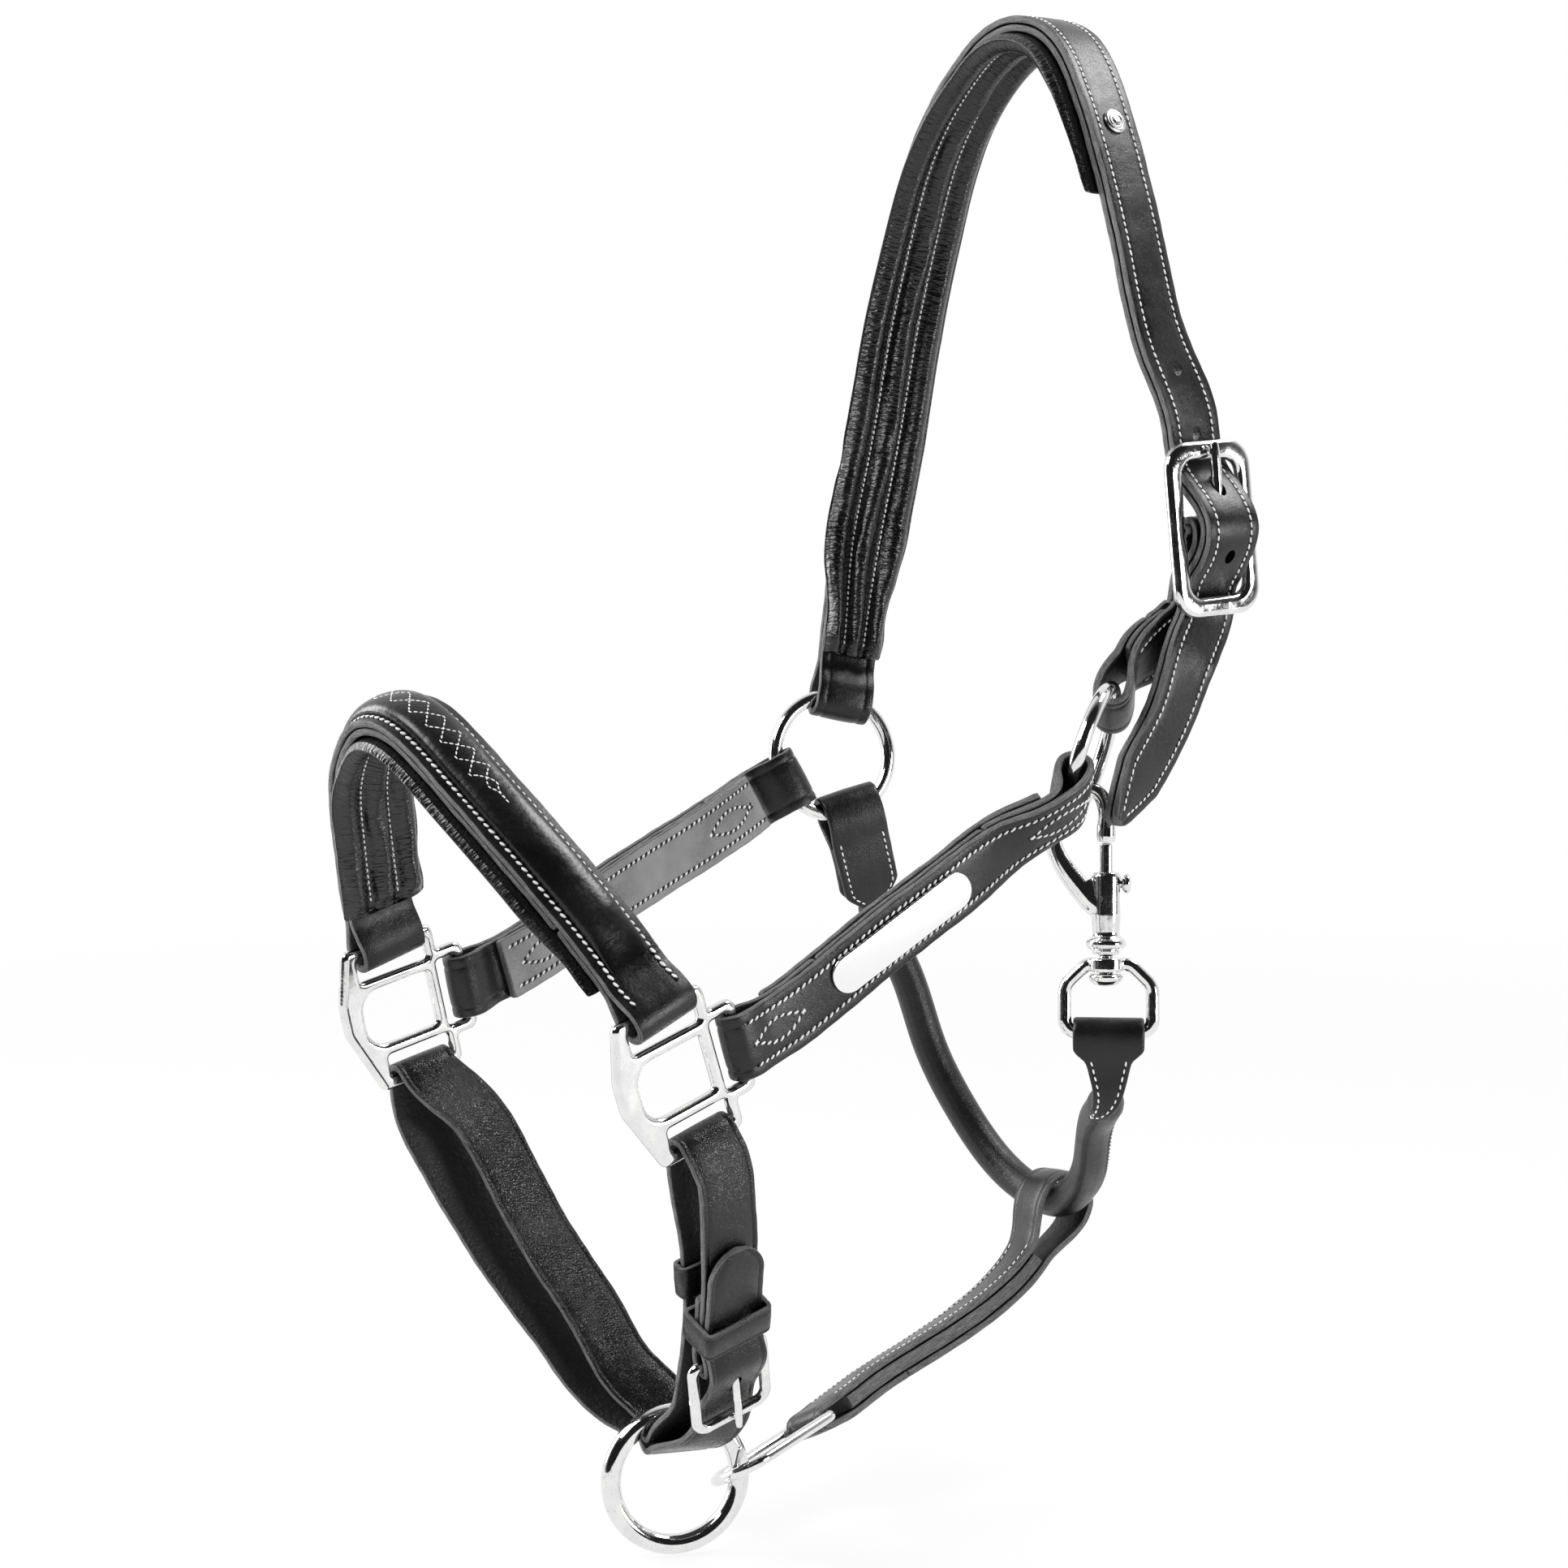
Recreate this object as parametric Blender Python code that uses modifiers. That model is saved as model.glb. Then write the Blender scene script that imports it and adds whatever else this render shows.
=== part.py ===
"""A leather horse halter: every strap, pad, fitting and moving piece as its own object.

The frame: +Z is up, the horse faces -Y, and +X is the near side, where the buckles are.
The origin is level with the cheek rings, midway between them. Lengths are in millimetres
and are turned into metres where a mesh is made.
"""

import math

import bmesh
import bpy
import numpy as np
from mathutils import Matrix, Vector

MM = 0.001

# Clearance kept between pieces that touch.
GAP = 0.3

# How much further out a folded ply stands: on a ring, on a square's nose bar, on the roll, and
# how much further a cheek's outer plies lie from its filler.
RING_EASE = 1.7
RING_DRAW = 0.4
NOSE_EASE = 0.5
NOSE_TILT = 0.06
ROLL_EASE = 2.5
CHEEK_EASE = 0.15

# Leather.
STRAP_WIDTH = 25.0
PLY = 3.0
FILLER_PLY = 2.4
NOSE_WIDTH = 28.0
NOSE_RAISED_WIDTH = 19.0
NOSE_RAISED_HEIGHT = 5.0
CHIN_WIDTH = 25.0
CHIN_PLY = 2.8
CONNECTOR_WIDTH = 22.0
CONNECTOR_PLY = 2.8
ROLL_DIAMETER = 15.0
TAB_WIDTH = 25.0
CROWN_PAD_WIDTH = 37.0
CROWN_PAD_THICKNESS = 9.0
NOSE_PAD_WIDTH = 37.0
NOSE_PAD_THICKNESS = 8.5
TURN_BACK = 44.0
PAD_ROLLS = 3

# Cheek rings and chin ring.
RING_OUTER = 58.0
RING_WIRE = 6.0
CHIN_RING_OUTER = 60.0
CHIN_RING_WIRE = 8.0

# Three-way squares, seen square on: front to back, then up.
SQUARE_THICKNESS = 4.6
SQUARE_OPENING = (31.0, 22.0)
SQUARE_BAR = 5.0
SQUARE_SLOT = 8.5
SQUARE_RIM = 5.0
DRAWN_STRAP, DRAWN_NOSE, DRAWN_RING = 25.0, 28.0, 58.0  # widths the strap ways were drawn for
SLOT_EASE = 3.0
CHEEK_SLOT_EASE = 2.0
NOSE_SLOT = NOSE_WIDTH + SLOT_EASE
CHEEK_SLOT = STRAP_WIDTH + CHEEK_SLOT_EASE
CHIN_SLOT = CHIN_WIDTH + SLOT_EASE
NOSE_SLOT_SHIFT = 1.5
CHIN_SLOT_SHIFT = 4.9

# Crown buckle, a cast centre-bar buckle.
BUCKLE_LENGTH = 70.0
BUCKLE_LEG = 7.5
BUCKLE_THICKNESS = 5.0
BUCKLE_BAR = 5.0
BILLET_HOLE = (4.6, 6.5)
BILLET_HOLE_PITCH = 27.0
BILLET_HOLES_UP = 2
BILLET_HOLES_DOWN = 2

# Chin buckle, a wire one.
CHIN_BUCKLE_LENGTH = 31.0
CHIN_BUCKLE_WIRE = 4.4

# Bolt snap.
SNAP_BARREL = 11.5
SNAP_BARREL_LENGTH = 29.0
SNAP_BOLT = 5.2
SNAP_TRAVEL = 11.0
SNAP_HOOK_WIRE = 6.4
EYE_WIRE = 5.5
EYE_WIDTH = 40.0

# Link between the chin ring and the connector strap.
LINK_WIRE = 4.6


def unit(vector):
    vector = np.asarray(vector, float)
    return vector / np.linalg.norm(vector)


def square_to(vector, axis):
    """The part of a direction that is square to an axis, at length one."""
    axis = unit(axis)
    return unit(np.asarray(vector, float) - axis * np.dot(vector, axis))


def ease(share):
    return share * share * (3 - 2 * share)


# Where the fittings sit. Each frame is a centre and three axes.


class Frame:
    def __init__(self, centre, first, normal):
        self.centre = np.asarray(centre, float)
        self.normal = unit(normal)
        self.first = square_to(first, normal)
        self.second = np.cross(self.normal, self.first)

    def at(self, first, second=0.0, normal=0.0):
        return self.centre + self.first * first + self.second * second + self.normal * normal

    def matrix(self):
        columns = (self.first, self.second, self.normal)
        rotation = Matrix([[column[row] for column in columns] for row in range(3)]).to_4x4()
        return Matrix.Translation(Vector(self.centre * MM)) @ rotation


NEAR_SQUARE = Frame((74.0, -200.0, -101.0), (0.0, 0.951, 0.309), (1.0, 0.0, 0.0))
OFF_SQUARE = Frame((-74.0, -226.0, -92.0), (0.0, 0.974, 0.225), (1.0, 0.0, 0.0))
NEAR_RING = Frame((84.0, -2.6, 7.8), (0.142, 0.269, 0.953), (0.79, 0.549, -0.273))
OFF_RING = Frame((-82.0, 0.0, -5.0), (0.0, 0.3, 0.95), (0.93, -0.33, 0.15))
CHIN_RING = Frame((7.0, -151.5, -275.5), (0.0, 0.0, 1.0), (0.93, -0.36, 0.05))
BUCKLE = Frame((98.0, 49.0, 95.0), (0.063, 0.063, -0.996), (1.0, -0.1, 0.057))
SNAP = Frame((91.3, -1.2, -42.0), (-0.055, 0.045, 0.997), (0.722, -0.686, 0.086))
RING_RADIUS = (RING_OUTER - RING_WIRE) / 2
CHIN_RING_RADIUS = (CHIN_RING_OUTER - CHIN_RING_WIRE) / 2


def spline(knots, values, at):
    """A natural cubic through values at knots, read at other places."""
    values = np.asarray(values, float)
    gaps = np.diff(knots)
    count = len(knots)
    system = np.eye(count)
    right = np.zeros_like(values)
    for i in range(1, count - 1):
        system[i, i - 1] = gaps[i - 1]
        system[i, i] = 2 * (gaps[i - 1] + gaps[i])
        system[i, i + 1] = gaps[i]
        rise = (values[i + 1] - values[i]) / gaps[i] - (values[i] - values[i - 1]) / gaps[i - 1]
        right[i] = 6 * rise
    bend = np.linalg.solve(system, right)
    cell = np.clip(np.searchsorted(knots, at, side="right") - 1, 0, count - 2)
    gap = gaps[cell][:, None]
    before = (np.asarray(at) - np.asarray(knots)[cell])[:, None]
    after = gap - before
    curve = (bend[cell] * after**3 + bend[cell + 1] * before**3) / (6 * gap)
    curve += (values[cell] / gap - bend[cell] * gap / 6) * after
    curve += (values[cell + 1] / gap - bend[cell + 1] * gap / 6) * before
    return curve


class Guide:
    """A strap's smooth centreline. Each of its points carries the way the strap's face looks."""

    def __init__(self, points, samples=600):
        places = np.array([point for point, face in points], float)
        faces = np.array([unit(face) for point, face in points])
        chord = np.concatenate([[0], np.cumsum(np.linalg.norm(np.diff(places, axis=0), axis=1))])
        fine = np.linspace(0, chord[-1], samples)
        self.line = spline(chord, places, fine)
        self.faces = np.stack([np.interp(fine, chord, faces[:, k]) for k in range(3)], axis=1)
        steps = np.linalg.norm(np.diff(self.line, axis=0), axis=1)
        self.run = np.concatenate([[0], np.cumsum(steps)])
        self.length = self.run[-1]
        self.along = np.gradient(self.line, self.run, axis=0)

    def frame(self, s):
        """(place, along, across, face) at a distance along the strap, which may lie past its ends."""
        inside = min(max(s, 0.0), self.length)
        place = np.array([np.interp(inside, self.run, self.line[:, k]) for k in range(3)])
        along = unit([np.interp(inside, self.run, self.along[:, k]) for k in range(3)])
        face = [np.interp(inside, self.run, self.faces[:, k]) for k in range(3)]
        face = square_to(face, along)
        return place + along * (s - inside), along, np.cross(along, face), face

    def point(self, s, across=0.0, height=0.0):
        place, _, side, face = self.frame(s)
        return place + side * across + face * height

    def nearest(self, place):
        return self.run[np.argmin(np.linalg.norm(self.line - np.asarray(place), axis=1))]


# Making objects.

for old in list(bpy.data.objects):
    bpy.data.objects.remove(old, do_unlink=True)
halter = bpy.data.collections.new("halter")
cutters = bpy.data.collections.new("cutters")
bpy.context.scene.collection.children.link(halter)
bpy.context.scene.collection.children.link(cutters)


def material(name, colour, roughness, metallic=0.0):
    made = bpy.data.materials.new(name)
    made.use_nodes = True
    shader = made.node_tree.nodes["Principled BSDF"]
    shader.inputs["Base Color"].default_value = (*colour, 1.0)
    shader.inputs["Roughness"].default_value = roughness
    shader.inputs["Metallic"].default_value = metallic
    return made


def leather(name, shade=0.012, roughness=0.42):
    return material(name + "_leather", (shade, shade, shade), roughness)


def steel(name):
    return material(name + "_steel", (0.78, 0.78, 0.77), 0.14, 1.0)


def add_object(name, data, finish, collection=None):
    made = bpy.data.objects.new(name, data)
    (collection or halter).objects.link(made)
    if finish:
        data.materials.append(finish)
    return made


def mesh_object(name, bm, finish, collection=None, smooth=35.0):
    bmesh.ops.recalc_face_normals(bm, faces=bm.faces[:])
    mesh = bpy.data.meshes.new(name)
    bm.to_mesh(mesh)
    bm.free()
    mesh.shade_smooth()
    mesh.set_sharp_from_angle(angle=math.radians(smooth))
    return add_object(name, mesh, finish, collection)


def as_cutter(piece):
    for collection in list(piece.users_collection):
        collection.objects.unlink(piece)
    cutters.objects.link(piece)
    piece.hide_render = True
    piece.display_type = "WIRE"
    return piece


def boolean(piece, other, operation="DIFFERENCE"):
    step = piece.modifiers.new(other.name, "BOOLEAN")
    step.object = other
    step.operation = operation
    step.solver = "EXACT"
    return piece


def solidify(piece, thickness):
    shell = piece.modifiers.new("ply", "SOLIDIFY")
    shell.thickness = thickness * MM
    shell.offset = 0.0
    shell.use_even_offset = True
    return piece


def ribbon(name, guide, path, width, thickness, finish, lanes=2, collection=None):
    """One ply of leather: a strip laid along a path of (run, height) on a guide, then made thick.

    The width is one number, or a function of the distance travelled and the whole distance.
    """
    rows = len(path) - 1
    steps = np.linalg.norm(np.diff(np.array(path), axis=0), axis=1)
    travel = np.concatenate([[0.0], np.cumsum(steps)])
    span = width if callable(width) else lambda distance, total: width
    bm = bmesh.new()
    bmesh.ops.create_grid(bm, x_segments=rows, y_segments=lanes, size=1.0)
    for vertex in bm.verts:
        row = round((vertex.co.x + 1) / 2 * rows)
        side = vertex.co.y / 2
        run, height = path[row]
        across = side * span(travel[row], travel[-1])
        vertex.co = Vector(guide.point(run, across, height) * MM)
    piece = mesh_object(name, bm, finish, collection)
    return solidify(piece, thickness)


def loft(name, rings, finish, collection=None):
    """A closed body through rings of points, each ring with the same count."""
    bm = bmesh.new()
    made = [[bm.verts.new(Vector(np.asarray(point) * MM)) for point in ring] for ring in rings]
    count = len(rings[0])
    for before, after in zip(made, made[1:]):
        for k in range(count):
            following = (k + 1) % count
            bm.faces.new((before[k], before[following], after[following], after[k]))
    bm.faces.new(made[0])
    bm.faces.new(made[-1])
    return mesh_object(name, bm, finish, collection, smooth=60.0)


def wire(name, points, diameter, finish, radii=None, closed=False, sides=2, collection=None):
    """A round bar along points."""
    curve = bpy.data.curves.new(name, "CURVE")
    curve.dimensions = "3D"
    line = curve.splines.new("POLY")
    line.points.add(len(points) - 1)
    for k, place in enumerate(points):
        line.points[k].co = (*(np.asarray(place) * MM), 1.0)
        line.points[k].radius = radii[k] if radii else 1.0
    line.use_cyclic_u = closed
    curve.bevel_depth = diameter / 2 * MM
    curve.bevel_resolution = sides
    curve.use_fill_caps = not closed
    return add_object(name, curve, finish, collection)


def as_mesh(piece):
    """A curve object turned into a mesh object whose caps are welded."""
    bpy.context.view_layer.update()
    graph = bpy.context.evaluated_depsgraph_get()
    mesh = bpy.data.meshes.new_from_object(piece.evaluated_get(graph))
    bm = bmesh.new()
    bm.from_mesh(mesh)
    bmesh.ops.remove_doubles(bm, verts=bm.verts[:], dist=0.00001)
    bmesh.ops.recalc_face_normals(bm, faces=bm.faces[:])
    bm.to_mesh(mesh)
    bm.free()
    name = piece.name
    home = piece.users_collection[0]
    place = piece.matrix_world.copy()
    bpy.data.objects.remove(piece, do_unlink=True)
    made = bpy.data.objects.new(name, mesh)
    home.objects.link(made)
    made.matrix_world = place
    mesh.shade_smooth()
    mesh.set_sharp_from_angle(angle=math.radians(40))
    return made


def to_origin(piece, centre):
    """Moves an object's origin to a place without moving its shape."""
    shift = Vector(np.asarray(centre) * MM)
    if piece.type == "CURVE":
        for line in piece.data.splines:
            for point in line.points:
                point.co = (*(Vector(point.co[:3]) - shift), 1.0)
    else:
        piece.data.transform(Matrix.Translation(-shift))
    piece.location = piece.location + shift
    return piece


def torus(name, frame, radius, thickness, finish, around=32, across=7):
    bpy.ops.mesh.primitive_torus_add(
        major_radius=radius * MM,
        minor_radius=thickness / 2 * MM,
        major_segments=around,
        minor_segments=across,
    )
    ring = bpy.context.object
    for collection in list(ring.users_collection):
        collection.objects.unlink(ring)
    halter.objects.link(ring)
    ring.name = name
    ring.matrix_world = frame.matrix()
    ring.data.shade_smooth()
    ring.data.materials.append(finish)
    return ring


def flat_plate(name, frame, outlines, thickness, finish, bevel=0.0, collection=None):
    """A plate from outlines in its own plane. Outlines after the first are its openings."""
    curve = bpy.data.curves.new(name, "CURVE")
    curve.dimensions = "2D"
    curve.fill_mode = "BOTH"
    curve.extrude = (thickness / 2 - bevel) * MM
    curve.bevel_depth = bevel * MM
    curve.bevel_resolution = 0
    curve.offset = -bevel * MM
    for outline in outlines:
        line = curve.splines.new("POLY")
        line.points.add(len(outline) - 1)
        for k, (x, y) in enumerate(outline):
            line.points[k].co = (x * MM, y * MM, 0.0, 1.0)
        line.use_cyclic_u = True
    plate = add_object(name, curve, finish, collection)
    plate.matrix_world = frame.matrix()
    return as_mesh(plate)


def rounded(corners, steps=4):
    """A closed outline through corners, each given as (x, y, radius) and rounded by an arc."""
    outline = []
    count = len(corners)
    for k, (x, y, radius) in enumerate(corners):
        here = np.array([x, y])
        before = np.array(corners[k - 1][:2])
        after = np.array(corners[(k + 1) % count][:2])
        to_before, to_after = unit(before - here), unit(after - here)
        half = math.acos(np.clip(np.dot(to_before, to_after), -1, 1)) / 2
        if radius <= 0 or abs(half - math.pi / 2) < 0.01:
            outline.append(tuple(here))
            continue
        inset = radius / math.tan(half)
        centre = here + unit(to_before + to_after) * radius / math.sin(half)
        start, stop = here + to_before * inset, here + to_after * inset
        first = math.atan2(*(start - centre)[::-1])
        turn = math.atan2(*(stop - centre)[::-1]) - first
        turn = (turn + math.pi) % (2 * math.pi) - math.pi
        for step in range(steps + 1):
            angle = first + turn * step / steps
            outline.append(tuple(centre + radius * np.array([math.cos(angle), math.sin(angle)])))
    return outline


# Paths of leather in (run, height).


def run_path(start, stop, height, pitch=11.0):
    count = max(1, round(abs(stop - start) / pitch))
    return [(start + (stop - start) * k / count, height) for k in range(count + 1)]


def shared_runs(length, pitch):
    """Runs at one pitch along a guide, shared by the plies of a strap so that they bend alike."""
    count = round(length / pitch)
    return [length * k / count for k in range(1, count)]


def rows(runs, low, high, height):
    """Path rows from low to high, at the shared runs between them."""
    inside = [(run, height) for run in runs if low + 2.0 < run < high - 2.0]
    return [(low, height), *inside, (high, height)]


def bending_runs(guide, stop, longest=9.0, most=math.radians(24.0)):
    """Runs along a guide up to stop, closer together where it bends."""
    runs = [0.0]
    turned_by = 0.0
    before = guide.frame(0.0)[1]
    for run in np.arange(0.5, stop - 1.0, 0.5):
        way = guide.frame(run)[1]
        turned_by += math.acos(min(1.0, float(np.dot(before, way))))
        before = way
        if turned_by > most or run - runs[-1] >= longest:
            runs.append(float(run))
            turned_by = 0.0
    return [*runs, stop]


def sloped(start, stop, steps=3):
    """Between two (run, height) points, an S bend."""
    return [
        (
            start[0] + (stop[0] - start[0]) * k / steps,
            start[1] + (stop[1] - start[1]) * ease(k / steps),
        )
        for k in range(1, steps)
    ]


def fold(at, way, radius, slack=0.0, steps=6):
    """Half a turn round a bar at a run, from below it to above. The strap leaves towards way."""
    angles = [math.pi * (k / steps - 0.5) for k in range(steps + 1)]
    return [
        (at - way * (slack + radius * math.cos(angle)), radius * math.sin(angle)) for angle in angles
    ]


def folded_end(at, way, radius, tip, back, front, slack=0.0, reach=15.0):
    """From the turned-back tip, round a bar, to where the ply lies at its front height."""
    straight = at + way * 1.0
    path = run_path(tip, at + way * reach, back)
    path += sloped(path[-1], (straight, -radius))
    path += fold(at, way, radius, slack)
    path += sloped((straight, radius), (at + way * reach, front))
    path.append((at + way * reach, front))
    return path


def wire_slack(radius, width):
    """How far a curved wire draws in across a strap that is folded round it."""
    return radius - math.sqrt(radius * radius - width * width / 4)


RING_FOLD = RING_WIRE / 2 + RING_EASE + PLY / 2
RING_SLACK = wire_slack(RING_RADIUS, STRAP_WIDTH) - RING_DRAW
BAR_FOLD = math.hypot(SQUARE_THICKNESS, SQUARE_RIM) / 2 + GAP + PLY / 2
STACK = PLY + GAP


def square_ports(frame):
    """Where each strap meets a square: the middle of its outer bar."""
    half_a, half_b = SQUARE_OPENING[0] / 2, SQUARE_OPENING[1] / 2
    reach = SQUARE_BAR + SQUARE_SLOT + SQUARE_RIM / 2
    return {
        "nose": frame.at(NOSE_SLOT_SHIFT, half_b + reach),
        "cheek": frame.at(half_a + reach, 0.0),
        "chin": frame.at(CHIN_SLOT_SHIFT, -half_b - reach),
    }


NEAR_PORTS = square_ports(NEAR_SQUARE)
OFF_PORTS = square_ports(OFF_SQUARE)


# Cheekpieces: three plies, folded round the ring and the square's back bar.


def cheek(side, ring, square, port, outward, raised=0.0):
    bar = port["cheek"]
    way = square_to(bar + np.array((0.0, 0.0, raised)) - ring.centre, ring.normal)
    start = ring.centre + way * RING_RADIUS
    ring_face = ring.normal * np.sign(np.dot(ring.normal, outward))
    square_face = square.normal * np.sign(np.dot(square.normal, outward))
    entry = bar + square.first * 14.0
    lead = entry - start
    guide = Guide(
        [
            (start, ring_face),
            (start + way * 9.0, ring_face),
            (start + lead * 0.2, 3 * ring_face + 2 * square_face),
            (start + lead * 0.34, ring_face + 7 * square_face),
            (start + lead * 0.65, square_face),
            (entry, square_face),
            (bar, square_face),
        ]
    )
    end = guide.length
    outer = STACK + CHEEK_EASE
    path = folded_end(0.0, 1, RING_FOLD, TURN_BACK, 0.0, outer, RING_SLACK)
    runs = shared_runs(end, 6.0)
    path += rows(runs, 15.0, end - 15.0, outer)[1:-1]
    path += folded_end(end, -1, BAR_FOLD, end - TURN_BACK, 0.0, outer)[::-1]
    ribbon(f"{side}_cheek_strap", guide, path, STRAP_WIDTH, PLY, leather(f"{side}_cheek_strap"))
    filler = rows(runs, TURN_BACK + 1.0, end - TURN_BACK - 1.0, 0.0)
    between = leather(f"{side}_filler", 0.02)
    ribbon(f"{side}_cheek_filler", guide, filler, STRAP_WIDTH, FILLER_PLY, between)
    inner = rows(runs, 18.0, end - 18.0, -outer)
    ribbon(f"{side}_cheek_lining", guide, inner, STRAP_WIDTH, PLY, leather(f"{side}_lining"))
    return guide


near_cheek = cheek("near", NEAR_RING, NEAR_SQUARE, NEAR_PORTS, (1.0, 0.0, 0.0), raised=36.0)
cheek("off", OFF_RING, OFF_SQUARE, OFF_PORTS, (-1.0, 0.0, 0.0))


# Rings and squares.

torus("near_ring", NEAR_RING, RING_RADIUS, RING_WIRE, steel("near_ring"))
torus("off_ring", OFF_RING, RING_RADIUS, RING_WIRE, steel("off_ring"))
torus("chin_ring", CHIN_RING, CHIN_RING_RADIUS, CHIN_RING_WIRE, steel("chin_ring"))


def three_way_square(name, frame):
    half_a, half_b = SQUARE_OPENING[0] / 2, SQUARE_OPENING[1] / 2
    inner = SQUARE_BAR
    outer = SQUARE_BAR + SQUARE_SLOT
    top = half_b + outer + SQUARE_RIM
    back = half_a + outer + SQUARE_RIM
    cheek_half = CHEEK_SLOT / 2
    lobe = cheek_half + SQUARE_RIM
    nose_end = NOSE_SLOT_SHIFT + NOSE_SLOT / 2 + SQUARE_RIM
    chin_end = CHIN_SLOT_SHIFT + CHIN_SLOT / 2 + SQUARE_RIM
    chin_start = CHIN_SLOT_SHIFT - CHIN_SLOT / 2 - SQUARE_RIM
    front = half_a + 9.5
    outline = [
        (chin_start, -top, 3.0),
        (chin_end, -top, 4.0),
        (chin_end, -lobe, 0.8),
        (back, -lobe, 4.5),
        (back, lobe, 4.5),
        (nose_end, lobe, 0.8),
        (nose_end, top, 4.0),
        (NOSE_SLOT_SHIFT - NOSE_SLOT / 2 - SQUARE_RIM, top, 3.0),
        (-front, 0.8 * half_b, 6.0),
        (-front, -0.3 * half_b, 6.0),
    ]
    opening = [
        (-half_a, -half_b, 8.0),
        (half_a, -half_b, 2.0),
        (half_a, half_b, 2.0),
        (-half_a, half_b, 8.0),
    ]

    def slot(middle_a, middle_b, length_a, length_b):
        return [
            (middle_a - length_a / 2, middle_b - length_b / 2, 1.5),
            (middle_a + length_a / 2, middle_b - length_b / 2, 1.5),
            (middle_a + length_a / 2, middle_b + length_b / 2, 1.5),
            (middle_a - length_a / 2, middle_b + length_b / 2, 1.5),
        ]

    across = inner + SQUARE_SLOT / 2
    openings = [
        opening,
        slot(NOSE_SLOT_SHIFT, half_b + across, NOSE_SLOT, SQUARE_SLOT),
        slot(half_a + across, 0.0, SQUARE_SLOT, CHEEK_SLOT),
        slot(CHIN_SLOT_SHIFT, -half_b - across, CHIN_SLOT, SQUARE_SLOT),
    ]
    outlines = [rounded(outline, 2)] + [rounded(corners, 2) for corners in openings]
    return flat_plate(name, frame, outlines, SQUARE_THICKNESS, steel(name), bevel=1.0)


three_way_square("near_square", NEAR_SQUARE)
three_way_square("off_square", OFF_SQUARE)


# More ways of making a body.


def turned(name, origin, axis, side, profile, finish, sides=20, collection=None):
    """A round body from (distance along the axis, radius) pairs."""
    axis = unit(axis)
    side = square_to(side, axis)
    other = np.cross(axis, side)
    turns = [2 * math.pi * k / sides for k in range(sides)]
    rings = [
        [
            np.asarray(origin) + axis * run + (side * math.cos(t) + other * math.sin(t)) * radius
            for t in turns
        ]
        for run, radius in profile
    ]
    return loft(name, rings, finish, collection)


def punches(name, holes, sides=12):
    """One cutter of several oval prisms, each given as (frame, length, width, depth)."""
    bm = bmesh.new()
    for frame, length, width, depth in holes:
        rings = []
        for level in (-depth / 2, depth / 2):
            ring = []
            for k in range(sides):
                angle = 2 * math.pi * k / sides
                place = frame.at(math.cos(angle) * length / 2, math.sin(angle) * width / 2, level)
                ring.append(bm.verts.new(Vector(place * MM)))
            rings.append(ring)
        for k in range(sides):
            following = (k + 1) % sides
            low, high = rings
            bm.faces.new((low[k], low[following], high[following], high[k]))
        bm.faces.new(rings[0])
        bm.faces.new(rings[1])
    return as_cutter(mesh_object(name, bm, None))


def strip_pad(name, guide, start, stop, top, width, thickness, finish, pitch=12.0):
    """A soft pad of parallel rolls under a strap. The width may be a function of the run."""
    rows = round((stop - start) / pitch)
    runs = [start + (stop - start) * k / rows for k in range(rows + 1)]
    runs = [start, start + 3.0] + runs[1:-1] + [stop - 3.0, stop]
    span = width if callable(width) else lambda run: width
    base = thickness * 0.45
    rings = []
    for run in runs:
        full = min(1.0, 0.55 + min(run - start, stop - run) / 6.0)
        half = span(run) / 2
        ring = [guide.point(run, half * 0.96, top), guide.point(run, -half * 0.96, top)]
        for k in range(4 * PAD_ROLLS + 1):
            lift = abs(math.sin(math.pi * k / 4))
            depth = base + (thickness - base) * lift
            across = -half + 2 * half * k / (4 * PAD_ROLLS)
            ring.append(guide.point(run, across, top - depth * full))
        rings.append(ring)
    return loft(name, rings, finish)


def pointed(width, taper, tip):
    """A strap's width along its path, drawn in to a point at the far end."""

    def span(travel, total):
        left = total - travel
        return width if left >= taper else tip + (width - tip) * (left / taper) ** 0.7

    return span


def tip_path(stop, height, taper):
    """The last rows of a pointed strap, close enough together to follow the point."""
    return [(stop - taper * share, height) for share in (1.0, 0.7, 0.45, 0.25, 0.1, 0.0)]


# Crown: two plies from the off ring over the poll and through the buckle.

BUCKLE_END_BAR = 8.0
BUCKLE_WIDTH = STRAP_WIDTH + SLOT_EASE + 2 * BUCKLE_LEG
WEAVE_TOP = 11.0
WEAVE_BACK = -7.6
WEAVE_HALF = (BUCKLE_LENGTH - BUCKLE_END_BAR + 1.0) / 2


def weave(s):
    """How far outside the buckle's plane the billet's middle lies, s down the buckle."""
    middle = (WEAVE_TOP + WEAVE_BACK) / 2
    return middle + (WEAVE_TOP - WEAVE_BACK) / 2 * math.cos(math.pi * s / WEAVE_HALF)


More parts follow.
